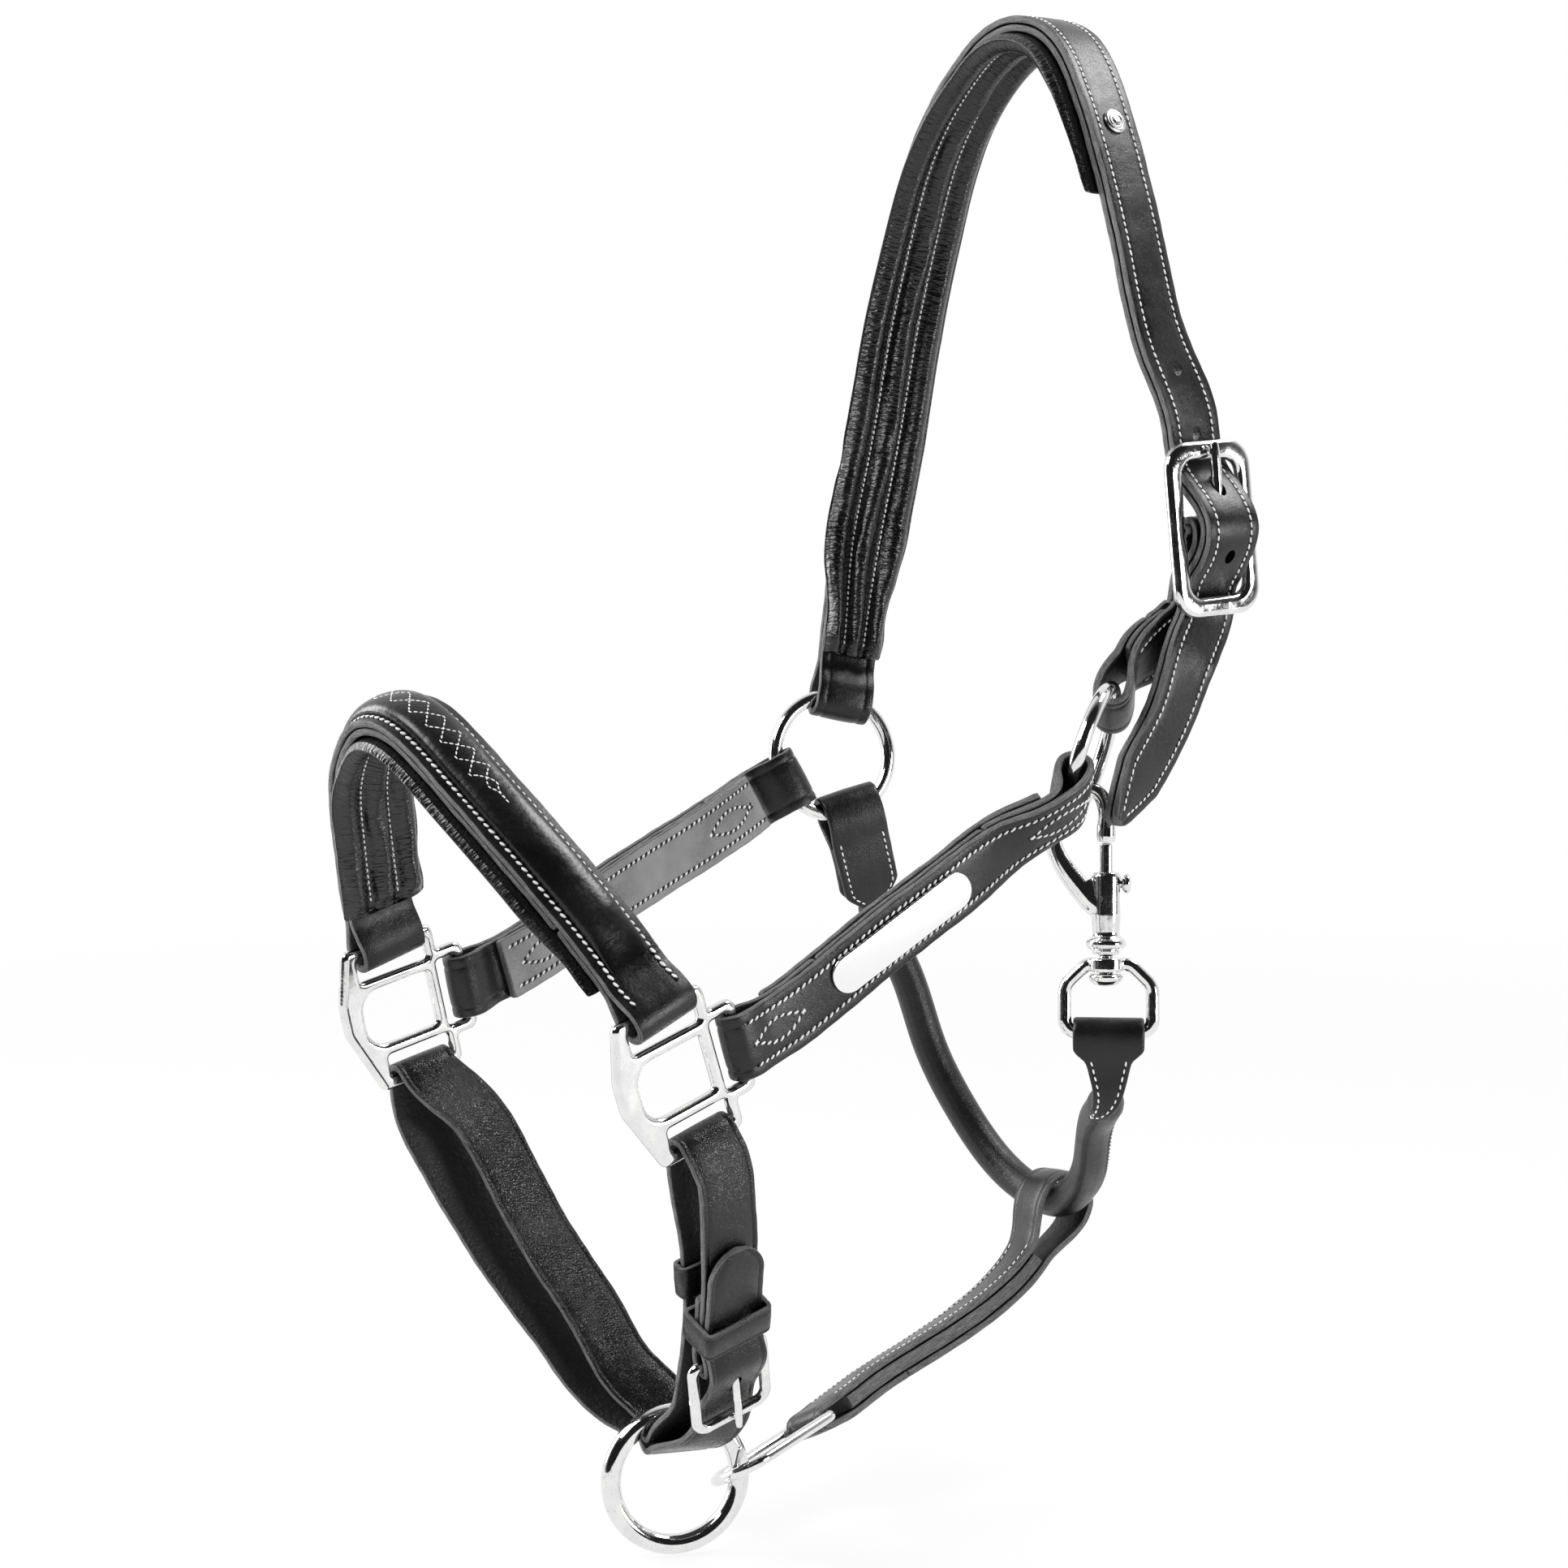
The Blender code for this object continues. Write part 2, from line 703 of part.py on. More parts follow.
off_up = square_to((-0.03, 0.23, 0.97), OFF_RING.normal)
crown_start = OFF_RING.centre + off_up * RING_RADIUS
crown_points = [
    (crown_start, -OFF_RING.normal),
    (crown_start + off_up * 14.0, -OFF_RING.normal),
    ((-88, 19.5, 81), (-0.93, 0.33, -0.10)),
    ((-91.5, 34, 130), (-0.94, 0.33, 0.05)),
    ((-89, 43, 182), (-0.93, 0.28, 0.20)),
    ((-79, 46, 224), (-0.86, 0.20, 0.45)),
    ((-61.5, 44.5, 260), (-0.66, 0.08, 0.73)),
    ((-36, 44, 288), (-0.40, 0.0, 0.92)),
    ((-5, 41, 301), (0.0, 0.0, 1.0)),
    ((26, 38, 293), (0.45, 0.0, 0.90)),
    ((45, 35, 271), (0.75, 0.0, 0.66)),
    ((60, 34, 238), (0.88, 0.0, 0.45)),
    ((71.5, 34.5, 202), (0.94, 0.0, 0.30)),
    ((81.5, 37.5, 166), (0.98, -0.05, 0.18)),
]
weave_steps = (-31.5, -23.6, -15.75, -7.9, 0.0, 7.9, 15.75, 23.6, 31.5)
weave_stretch = WEAVE_HALF / weave_steps[-1]
for s in (-WEAVE_HALF - 11.5, *(step * weave_stretch for step in weave_steps)):
    lift = weave(max(s, -WEAVE_HALF)) - (0.8 if s < -WEAVE_HALF else 0.0)
    crown_points.append((BUCKLE.at(s, 0.0, lift), BUCKLE.normal))
crown_points += [
    ((95.6, 41, 47), (0.99, -0.07, 0.06)),
    ((94.5, 30, 22), (0.97, 0.13, 0.05)),
    ((95.5, 13, 0), (0.97, 0.20, 0.05)),
    ((99, -5, -19), (0.97, 0.20, 0.0)),
]
crown = Guide(crown_points, 900)
PRONG_REACH = -14.0
prong_run = crown.nearest(BUCKLE.at(PRONG_REACH, 0.0, weave(PRONG_REACH)))
CROWN_PLY_OUT = (PLY + 0.55) / 2
TIP_TAPER = 24.0


crown_runs = shared_runs(crown.length - TIP_TAPER, 10.0)


def crown_ply(name, height, path):
    path += rows(crown_runs, path[-1][0], crown.length - TIP_TAPER, height)[1:-1]
    path += tip_path(crown.length, height, TIP_TAPER)
    return ribbon(name, crown, path, pointed(STRAP_WIDTH, TIP_TAPER, 4.0), PLY, leather(name))


outer_path = folded_end(
    0.0, 1, RING_FOLD, TURN_BACK, -CROWN_PLY_OUT, CROWN_PLY_OUT, RING_SLACK
)
crown_strap = crown_ply("crown_strap", CROWN_PLY_OUT, outer_path)
crown_lining = crown_ply("crown_lining", -CROWN_PLY_OUT, [(TURN_BACK + 1.5, -CROWN_PLY_OUT)])

holes = []
for k in range(-BILLET_HOLES_UP, BILLET_HOLES_DOWN + 1):
    if k:
        place, along, across, face = crown.frame(prong_run + k * BILLET_HOLE_PITCH)
        holes.append((Frame(place, along, face), BILLET_HOLE[1], BILLET_HOLE[0], 14.0))
TONGUE = 4.0
TONGUE_RISE = BUCKLE_THICKNESS / 2 + GAP + TONGUE / 2
prong_way = Frame(BUCKLE.at(PRONG_REACH, 0.0, TONGUE_RISE + 0.7), BUCKLE.normal, BUCKLE.first)
PRONG_HOLE = (TONGUE + 3.4, TONGUE + 1.8)
holes.append((prong_way, *PRONG_HOLE, 23.0))
hole_cutter = punches("billet_holes", holes)
boolean(crown_strap, hole_cutter)
boolean(crown_lining, hole_cutter)

pad_start = 17.0
pad_stop = crown.nearest((65, 34, 230))


def crown_pad_width(run):
    return CROWN_PAD_WIDTH - 10.5 * (1 - ease(min(1.0, (run - pad_start) / 60.0)))


crown_pad_top = -CROWN_PLY_OUT - PLY / 2 - 2 * GAP
strip_pad(
    "crown_pad",
    crown,
    pad_start,
    pad_stop,
    crown_pad_top,
    crown_pad_width,
    CROWN_PAD_THICKNESS,
    leather("crown_pad", 0.014, 0.5),
)

STUD = 10.5
stud_run = crown.nearest((54, 34.5, 256))
stud_place, stud_along, _, stud_face = crown.frame(stud_run)
stud_base = CROWN_PLY_OUT + PLY / 2 + GAP
turned(
    "crown_stud",
    stud_place,
    stud_face,
    stud_along,
    [
        (stud_base, STUD / 2 - 0.4),
        (stud_base + 0.6, STUD / 2),
        (stud_base + 1.4, STUD / 2 - 0.5),
        (stud_base + 1.9, STUD / 2 - 2.2),
    ],
    steel("crown_stud"),
)


# Crown buckle, its chape and its tongue.

half_length, half_width = BUCKLE_LENGTH / 2, BUCKLE_WIDTH / 2
buckle_outline = [
    (-half_length, -half_width, 9.0),
    (half_length, -half_width, 9.0),
    (half_length, half_width, 9.0),
    (-half_length, half_width, 9.0),
]
inner_length, inner_width = half_length - BUCKLE_END_BAR, half_width - BUCKLE_LEG
buckle_opening = [
    (-inner_length, -inner_width, 4.0),
    (inner_length, -inner_width, 4.0),
    (inner_length, inner_width, 4.0),
    (-inner_length, inner_width, 4.0),
]
crown_buckle = flat_plate(
    "crown_buckle_frame",
    BUCKLE,
    [rounded(buckle_outline, 4), rounded(buckle_opening, 3)],
    BUCKLE_THICKNESS,
    steel("crown_buckle_frame"),
    bevel=1.4,
)
centre_bar = turned(
    "centre_bar",
    BUCKLE.at(0.0, -inner_width - 2.0),
    BUCKLE.second,
    BUCKLE.first,
    [(0.0, BUCKLE_BAR / 2), (2 * inner_width + 4.0, BUCKLE_BAR / 2)],
    None,
    12,
)
boolean(crown_buckle, as_cutter(centre_bar), "UNION")


def tongue(name, frame, bar_at, bar, thick, tip, rise, finish):
    """A buckle tongue: an eye round a bar and a prong to its tip, in a frame's first and normal."""
    eye = bar / 2 + GAP + thick / 2
    way = np.sign(tip - bar_at)
    angles = [math.radians(a) for a in (-30, -75, -120, -165, 150, 105)]
    points = [
        frame.at(bar_at + way * eye * math.cos(a), 0.0, eye * math.sin(a)) for a in angles
    ]
    for share in (0.25, 0.5, 0.8, 1.0):
        height = eye + (rise - eye) * ease(share)
        points.append(frame.at(bar_at + (tip - bar_at) * share, 0.0, height))
    prong = wire(name, points, thick, finish, radii=[1.0] * (len(points) - 1) + [0.8], sides=3)
    return to_origin(as_mesh(prong), frame.at(bar_at))


crown_tongue_finish = steel("crown_buckle_tongue")
crown_rise = TONGUE_RISE + 0.1
tongue_tip = 1.0 - BUCKLE_LENGTH / 2
tongue(
    "crown_buckle_tongue", BUCKLE, 0.0, BUCKLE_BAR, TONGUE, tongue_tip, crown_rise,
    crown_tongue_finish,
)

chape_way = square_to((-0.15, 0.59, 0.79), NEAR_RING.normal)
chape_end = NEAR_RING.centre + chape_way * RING_RADIUS
chape = Guide(
    [
        (BUCKLE.at(0.0), BUCKLE.normal),
        (BUCKLE.at(7.0 * weave_stretch, 0.0, -1.6), BUCKLE.normal),
        (BUCKLE.at(14.0 * weave_stretch, 0.0, -6.4), BUCKLE.normal),
        (BUCKLE.at(22.0 * weave_stretch, 0.0, -12.0), BUCKLE.normal),
        (BUCKLE.at(32.0 * weave_stretch, 0.0, -15.8), BUCKLE.normal),
        ((82.4, 39.0, 50.0), (0.98, 0.02, -0.02)),
        (chape_end + chape_way * 13.0, NEAR_RING.normal),
        (chape_end, NEAR_RING.normal),
    ]
)
CHAPE_FOLD = BUCKLE_BAR / 2 + GAP + PLY / 2
chape_length = chape.length
CHAPE_JOIN = 0.64 * chape_length
CHAPE_FLAT = 12.0
CHAPE_SPREAD = (36.0, 48.0)


def chape_side(sign):
    """One side of the chape, from the buckle's bar outwards."""
    close, wide = sign * CROWN_PLY_OUT, sign * STACK
    start = (2.0, sign * CHAPE_FOLD)
    path = [start, *sloped(start, (CHAPE_FLAT, close)), (CHAPE_FLAT, close)]
    path.append(((CHAPE_FLAT + CHAPE_SPREAD[0]) / 2, close))
    path.append((CHAPE_SPREAD[0], close))
    path += sloped((CHAPE_SPREAD[0], close), (CHAPE_SPREAD[1], wide))
    path.append((CHAPE_SPREAD[1], wide))
    return path


chape_runs = shared_runs(chape_length, 6.0)
chape_path = rows(chape_runs, CHAPE_SPREAD[1], CHAPE_JOIN, -STACK)[:0:-1]
chape_path += chape_side(-1)[::-1]
chape_path += fold(0.0, 1, CHAPE_FOLD)
chape_path += chape_side(1)
chape_path += rows(chape_runs, CHAPE_SPREAD[1], chape_length - 15.0, STACK)[1:-1]
chape_path += folded_end(
    chape_length, -1, RING_FOLD, CHAPE_JOIN + 1.0, -STACK, STACK, RING_SLACK
)[::-1]
buckle_chape = ribbon(
    "buckle_chape", chape, chape_path, STRAP_WIDTH, PLY, leather("buckle_chape")
)
slot_frame = Frame(BUCKLE.at(1.0), BUCKLE.first, BUCKLE.normal)
chape_slot = punches("chape_slot", [(slot_frame, 26.0, TONGUE + 2.4, 20.0)])
boolean(buckle_chape, chape_slot)
filler = rows(chape_runs, CHAPE_SPREAD[1] + 2.0, chape_length - 16.0, 0.0)
# A changed strap, ring or buckle bends the chape harder, so its filler is skived thinner.
chape_change = abs(STRAP_WIDTH / DRAWN_STRAP - 1) + 2 * abs(RING_OUTER / DRAWN_RING - 1)
chape_change += 3 * abs(weave_stretch - 1)
chape_ply = FILLER_PLY - chape_change
ribbon("chape_filler", chape, filler, STRAP_WIDTH, chape_ply, leather("chape_filler", 0.02))


# Noseband: outer ply folded round both squares, lining ply, raised strip and pad.

nose_middle = unit((0.0, -0.31, 0.95))
nose = Guide(
    [
        (OFF_PORTS["nose"], (-1.0, 0.0, 0.0)),
        ((-71.5, -237.0, -44.0), (-1.0, 0.0, 0.1)),
        ((-67.5, -242.5, -21.0), -0.95 * np.array([1, 0, 0]) + 0.3 * nose_middle),
        ((-60.0, -248.5, 1.0), -0.85 * np.array([1, 0, 0]) + 0.5 * nose_middle),
        ((-47.0, -253.0, 17.0), -0.6 * np.array([1, 0, 0]) + 0.8 * nose_middle),
        ((-32.0, -255.0, 27.0), -0.2 * np.array([1, 0, 0]) + nose_middle),
        ((-15.0, -254.0, 27.0), 0.1 * np.array([1, 0, 0]) + nose_middle),
        ((-2.0, -251.0, 20.0), 0.5 * np.array([1, 0, 0]) + 0.87 * nose_middle),
        ((11.0, -247.0, 9.0), 0.63 * np.array([1, 0, 0]) + 0.77 * nose_middle),
        ((26.0, -241.5, -5.0), 0.68 * np.array([1, 0, 0]) + 0.72 * nose_middle),
        ((40.5, -234.0, -21.0), 0.74 * np.array([1, 0, 0]) + 0.66 * nose_middle),
        ((53.0, -225.0, -38.0), 0.8 * np.array([1, 0, 0]) + 0.6 * nose_middle),
        ((64.0, -215.5, -56.0), 0.83 * np.array([1, 0, 0]) + 0.55 * nose_middle),
        (NEAR_PORTS["nose"], 0.85 * np.array([1, 0, 0]) + 0.5 * nose_middle),
    ]
)
nose_end = nose.length
nose_out = (PLY + GAP) / 2
nose_runs = shared_runs(nose_end, 9.0)
NOSE_FOLD = BAR_FOLD + NOSE_EASE + (NOSE_WIDTH - DRAWN_NOSE) * NOSE_TILT
nose_path = folded_end(0.0, 1, NOSE_FOLD, TURN_BACK, -nose_out, nose_out)
nose_path += rows(nose_runs, 15.0, nose_end - 15.0, nose_out)[1:-1]
nose_path += folded_end(nose_end, -1, NOSE_FOLD, nose_end - TURN_BACK, -nose_out, nose_out)[::-1]
ribbon("noseband_strap", nose, nose_path, NOSE_WIDTH, PLY, leather("noseband_strap"))
nose_inner = rows(nose_runs, TURN_BACK + 1.5, nose_end - TURN_BACK - 1.5, -nose_out)
ribbon("noseband_lining", nose, nose_inner, NOSE_WIDTH, PLY, leather("noseband_lining", 0.02))
strip_pad(
    "noseband_pad",
    nose,
    17.0,
    nose_end - 17.0,
    -nose_out - PLY / 2 - 2 * GAP,
    NOSE_PAD_WIDTH,
    NOSE_PAD_THICKNESS,
    leather("noseband_pad", 0.014, 0.5),
)
RAISED_START = 20.0
raised_base = nose_out + PLY / 2 + GAP
raised_runs = rows(nose_runs, RAISED_START, nose_end - RAISED_START, raised_base)
raised_rings = []
for run, _ in raised_runs:
    ends = min(1.0, 0.25 + min(run - RAISED_START, nose_end - RAISED_START - run) * 0.03)
    ring = [nose.point(run, 0.0, raised_base)]
    for step in range(9):
        angle = math.pi * step / 8
        across = -math.cos(angle) * NOSE_RAISED_WIDTH / 2
        lift = 1.0 + (NOSE_RAISED_HEIGHT - 1.0) * math.sin(angle) ** 0.8 * ends
        ring.append(nose.point(run, across, raised_base + (0.0 if step in (0, 8) else lift)))
    raised_rings.append(ring)
loft("noseband_raised", raised_rings, leather("noseband_raised", 0.011, 0.35))


# Nameplate on the near cheekpiece.

PLATE_LENGTH = 68.0
PLATE_WIDTH = 15.0
PLATE_THICKNESS = 1.2
plate_run = near_cheek.length * 0.55
plate_place, plate_along, _, plate_face = near_cheek.frame(plate_run)
plate_height = STACK + PLY / 2 + GAP + 0.25 + PLATE_THICKNESS / 2
plate_frame = Frame(plate_place + plate_face * plate_height, plate_along, plate_face)
plate_outline = [
    (-PLATE_LENGTH / 2, -PLATE_WIDTH / 2, 7.3),
    (PLATE_LENGTH / 2, -PLATE_WIDTH / 2, 7.3),
    (PLATE_LENGTH / 2, PLATE_WIDTH / 2, 7.3),
    (-PLATE_LENGTH / 2, PLATE_WIDTH / 2, 7.3),
]
flat_plate(
    "nameplate",
    plate_frame,
    [rounded(plate_outline, 5)],
    PLATE_THICKNESS,
    steel("nameplate"),
    bevel=0.3,
)


# Chin strap: one long strap, doubled.


def arc(centre, first, second, radius, start, stop, steps, inward=False):
    """Points on an arc, each with the direction away from its centre, or towards it."""
    made = []
    for k in range(steps + 1):
        angle = math.radians(start + (stop - start) * k / steps)
        way = first * math.cos(angle) + second * math.sin(angle)
        made.append((centre + way * radius, -way if inward else way))
    return made


CHIN_FOLD = math.hypot(SQUARE_THICKNESS, SQUARE_RIM) / 2 + GAP + CHIN_PLY / 2
chin_slack = wire_slack(CHIN_RING_RADIUS, CHIN_WIDTH)
RING_PASS = CHIN_RING_WIRE / 2 + chin_slack + 3 * GAP + CHIN_PLY / 2
SECOND_PASS = RING_PASS + CHIN_PLY + 2 * GAP + 1.0
ring_top = CHIN_RING.at(CHIN_RING_RADIUS, 0.0)
ring_up = CHIN_RING.first
ring_out = CHIN_RING.normal
buckle_way = unit((-0.32, 0.315, -0.89))
CHIN_BUCKLE = Frame((52.0, -158.6, -226.1), buckle_way, (0.93, 0.0, -0.34))
CHIN_BUCKLE_EASE = 2.2
CHIN_BUCKLE_WIDTH = CHIN_WIDTH + CHIN_BUCKLE_EASE + 2 * CHIN_BUCKLE_WIRE
HEEL = -CHIN_BUCKLE_LENGTH / 2
heel_place = CHIN_BUCKLE.at(HEEL, 0.0)
near_bar, off_bar = NEAR_PORTS["chin"], OFF_PORTS["chin"]
HEEL_FOLD = CHIN_BUCKLE_WIRE / 2 + GAP + CHIN_PLY / 2
CHIN_OUT = (CHIN_PLY + GAP) / 2
TURNED_BACK = 34.0
BILLET_REACH = 44.0

front = Guide(
    [
        (heel_place, CHIN_BUCKLE.normal),
        (heel_place - buckle_way * 12.0, CHIN_BUCKLE.normal),
        ((66.0, -170.8, -192.0), (0.93, 0.02, -0.30)),
        ((75.0, -176.3, -173.0), (0.95, 0.03, -0.25)),
        ((80.5, -180.0, -153.0), (0.99, 0.03, -0.10)),
        ((81.5, -182.5, -137.0), (0.99, 0.03, 0.10)),
    ]
)


def leg(run, height, flip=1):
    return front.point(run, 0.0, height), front.frame(run)[3] * flip


def heel_arc(steps=6):
    made = []
    for k in range(steps + 1):
        angle = math.pi * (k / steps - 0.5)
        way = CHIN_BUCKLE.first * math.cos(angle) + CHIN_BUCKLE.normal * math.sin(angle)
        made.append((heel_place + way * HEEL_FOLD, way))
    return made


off_face = square_to((0.88, 0.0, 0.42), OFF_SQUARE.first)
off_rise = np.cross(off_face, OFF_SQUARE.first)
chin_points = [leg(TURNED_BACK, -CHIN_OUT, -1), leg(22.0, -CHIN_OUT, -1), leg(11.0, -1.9, -1)]
chin_points += heel_arc()
chin_points += [leg(11.0, 1.9), leg(22.0, CHIN_OUT), leg(36.0, CHIN_OUT)]
chin_points += [leg(48.0, 0.8), leg(60.0, 0.0), leg(72.0, 0.0), leg(front.length, 0.0)]
chin_points += arc(near_bar, NEAR_SQUARE.normal, NEAR_SQUARE.second, CHIN_FOLD, 15, 165, 6)
chin_points += [
    ((66.5, -184.5, -137.0), (-0.97, -0.03, 0.2)),
    ((63.5, -179.0, -153.0), (-0.95, -0.03, 0.25)),
    ((58.0, -172.0, -174.0), (-0.93, -0.02, 0.33)),
    ((50.0, -165.5, -198.0), (-0.93, 0.0, 0.33)),
    ((39.0, -159.5, -222.0), (-0.88, 0.1, 0.45)),
    ((25.5, -155.0, -244.0), (-0.82, 0.2, 0.55)),
]
chin_points += arc(ring_top, ring_out, ring_up, RING_PASS, -42, -152, 6, inward=True)
chin_points += [
    ((-18.5, -154.0, -239.0), (0.88, -0.18, 0.42)),
    ((-31.0, -161.0, -218.5), (0.91, -0.10, 0.40)),
    ((-44.0, -172.0, -193.0), (0.92, -0.06, 0.38)),
    ((-57.0, -185.5, -159.0), (0.92, -0.06, 0.38)),
    ((-66.0, -199.0, -132.0), (0.92, -0.06, 0.38)),
]
chin_points += arc(off_bar, off_face, off_rise, CHIN_FOLD, 5, 160, 6)
chin_points += [
    ((-80.0, -212.5, -132.0), (-0.98, 0.05, -0.15)),
    ((-77.0, -207.5, -147.0), (-0.95, 0.05, -0.28)),
    ((-69.5, -197.0, -171.0), (-0.93, 0.06, -0.36)),
    ((-57.5, -184.0, -199.0), (-0.91, 0.08, -0.42)),
    ((-42.5, -170.0, -226.0), (-0.86, 0.12, -0.50)),
    ((-22.0, -157.0, -250.0), (-0.70, 0.22, -0.68)),
]
chin_points += arc(ring_top, ring_out, ring_up, SECOND_PASS, -130, -60, 4)
chin_points += [
    ((28.5, -153.5, -255.0), (0.60, -0.10, -0.78)),
    (CHIN_BUCKLE.at(HEEL + 39.5, -1.0, -7.0), (0.82, -0.06, -0.54)),
    (CHIN_BUCKLE.at(HEEL + 31.0, 0.0, -4.8), CHIN_BUCKLE.normal),
    (CHIN_BUCKLE.at(HEEL + 23.0, 0.0, -2.6), CHIN_BUCKLE.normal),
    (CHIN_BUCKLE.at(HEEL + 15.5, 0.0, 1.4), CHIN_BUCKLE.normal),
    (CHIN_BUCKLE.at(HEEL + 8.0, 0.0, 5.4), CHIN_BUCKLE.normal),
    (CHIN_BUCKLE.at(HEEL, 0.0, 7.6), CHIN_BUCKLE.normal),
    leg(8.0, 6.1),
    leg(16.0, 5.1),
    leg(26.0, 5.0),
    leg(36.0, 5.0),
    leg(BILLET_REACH, 4.8),
]
chin = Guide(chin_points, 2400)


def rounded_tip(width, radius):
    """A strap's width along its path, with a round end."""

    def span(travel, total):
        left = total - travel
        if left >= radius:
            return width
        return max(2.0, width * math.sqrt(max(0.0, 1 - (1 - left / radius) ** 2)))

    return span


CHIN_TIP = CHIN_WIDTH / 2
chin_path = [(run, 0.0) for run in bending_runs(chin, chin.length - CHIN_TIP)]
chin_path += [(chin.length - CHIN_TIP * share, 0.0) for share in (0.8, 0.6, 0.4, 0.2, 0.07, 0.0)]
chin_width = rounded_tip(CHIN_WIDTH, CHIN_TIP)
chin_strap = ribbon("chin_strap", chin, chin_path, chin_width, CHIN_PLY, leather("chin_strap"))


# Chin buckle, its tongue and the two keepers.

buckle_half = CHIN_BUCKLE_WIDTH / 2 - CHIN_BUCKLE_WIRE / 2
corner = 5.0
loop = [
    (HEEL, -buckle_half, 3.0),
    (-HEEL, -buckle_half, corner),
    (-HEEL, buckle_half, corner),
    (HEEL, buckle_half, 3.0),
]
loop_points = [CHIN_BUCKLE.at(a, b) for a, b in rounded(loop, 4)]
chin_finish = steel("chin_buckle_frame")
as_mesh(
    wire("chin_buckle_frame", loop_points, CHIN_BUCKLE_WIRE, chin_finish, closed=True, sides=3)
)
CHIN_TONGUE = 3.2
chin_rise = CHIN_BUCKLE_WIRE / 2 + GAP + CHIN_TONGUE / 2
chin_tip = -HEEL + 3.0
chin_tongue_finish = steel("chin_buckle_tongue")
tongue("chin_buckle_tongue", CHIN_BUCKLE, HEEL, CHIN_BUCKLE_WIRE, CHIN_TONGUE, chin_tip, chin_rise,
       chin_tongue_finish)
chin_prong = Frame(CHIN_BUCKLE.at(HEEL + 8.5, 0.0, chin_rise + 0.5), CHIN_BUCKLE.normal, buckle_way)
prong_hole = [(chin_prong, CHIN_TONGUE + 2.8, CHIN_TONGUE + 1.2, 17.0)]
heel_frame = Frame(CHIN_BUCKLE.at(HEEL - 0.4), buckle_way, CHIN_BUCKLE.normal)
heel_slot = [(heel_frame, 12.6, CHIN_TONGUE + 2.0, 11.6)]
boolean(chin_strap, punches("chin_prong_hole", prong_hole))
boolean(chin_strap, punches("chin_heel_slot", heel_slot))


def keeper(name, guide, run, low, high, length, wall, width):
    """A leather loop round a strap, from one height to another."""
    place, along, across, face = guide.frame(run)
    middle = (low + high) / 2
    frame = Frame(place + face * middle, across, along)
    half_a, half_b = width / 2, (high - low) / 2
    inner = [(-half_a, -half_b), (half_a, -half_b), (half_a, half_b), (-half_a, half_b)]
    inner_corners = [(a, b, 0.8) for a, b in inner]
    outer_corners = [(a + math.copysign(wall, a), b + math.copysign(wall, b), 2.4) for a, b in inner]
    outlines = [rounded(outer_corners, 3), rounded(inner_corners, 2)]
    return flat_plate(name, frame, outlines, length, leather(name), bevel=0.4)


KEEPER_WALL = 1.8
keeper("chin_fixed_keeper", front, 18.5, -5.6, 8.6, 13.0, KEEPER_WALL, CHIN_WIDTH + 1.2)
slide_run = chin.nearest((57.0, -171.3, -178.3))
keeper("chin_sliding_keeper", chin, slide_run, -2.2, 2.2, 14.0, KEEPER_WALL, CHIN_WIDTH + 1.2)


# Link and connector strap.

link_hold = CHIN_RING.at(1.0, -CHIN_RING_RADIUS)
link_rear = np.array((9.0, -84.5, -265.5))
link_way = unit(link_rear - link_hold)
LINK_WIDTH = CONNECTOR_WIDTH + 2.4 + 2 * LINK_WIRE
link_front = link_hold - link_way * (CHIN_RING_WIRE / 2 + LINK_WIRE / 2 + 0.9)
LINK = Frame((link_front + link_rear) / 2, link_way, (-0.42, -0.26, 0.87))
link_half = np.linalg.norm(link_rear - link_front) / 2
link_side = (LINK_WIDTH - LINK_WIRE) / 2
link_outline = [
    (-link_half, -link_side, 11.0),
    (link_half, -link_side, 3.5),
    (link_half, link_side, 3.5),
    (-link_half, link_side, 11.0),
]
link_points = [LINK.at(a, b) for a, b in rounded(link_outline, 5)]
link_finish = steel("connector_link")
link = as_mesh(wire("connector_link", link_points, LINK_WIRE, link_finish, closed=True, sides=3))
to_origin(link, link_rear)

throat_way = square_to((0.04, 0.26, -0.965), OFF_RING.normal)
throat_start = OFF_RING.centre + throat_way * RING_RADIUS
EYE_DROP = -60.5
eye_bar = SNAP.at(EYE_DROP, -1.0)
throat = Guide(
    [
        (throat_start, OFF_RING.normal),
        (throat_start + throat_way * 16.0, OFF_RING.normal),
        ((-78.5, 21.0, -74.0), (0.93, -0.3, 0.15)),
        ((-74.0, 35.0, -103.0), (0.93, -0.3, 0.2)),
        ((-67.0, 43.0, -135.0), (0.9, -0.3, 0.3)),
        ((-54.0, 50.5, -163.0), (0.8, -0.3, 0.5)),
        ((-29.0, 57.0, -189.0), (0.6, -0.3, 0.75)),
        ((0.0, 57.0, -195.5), (0.2, -0.4, 0.9)),
        ((24.0, 48.5, -185.0), (0.1, -0.5, 0.85)),
        ((50.0, 31.0, -165.0), (0.2, -0.7, 0.6)),
        ((73.0, 12.5, -142.0), (0.4, -0.8, 0.4)),
        (eye_bar - SNAP.first * 22.0 - SNAP.normal * 3.0, SNAP.normal),
        (eye_bar - SNAP.first * 10.0, SNAP.normal),
        (eye_bar, SNAP.normal),
    ]
)

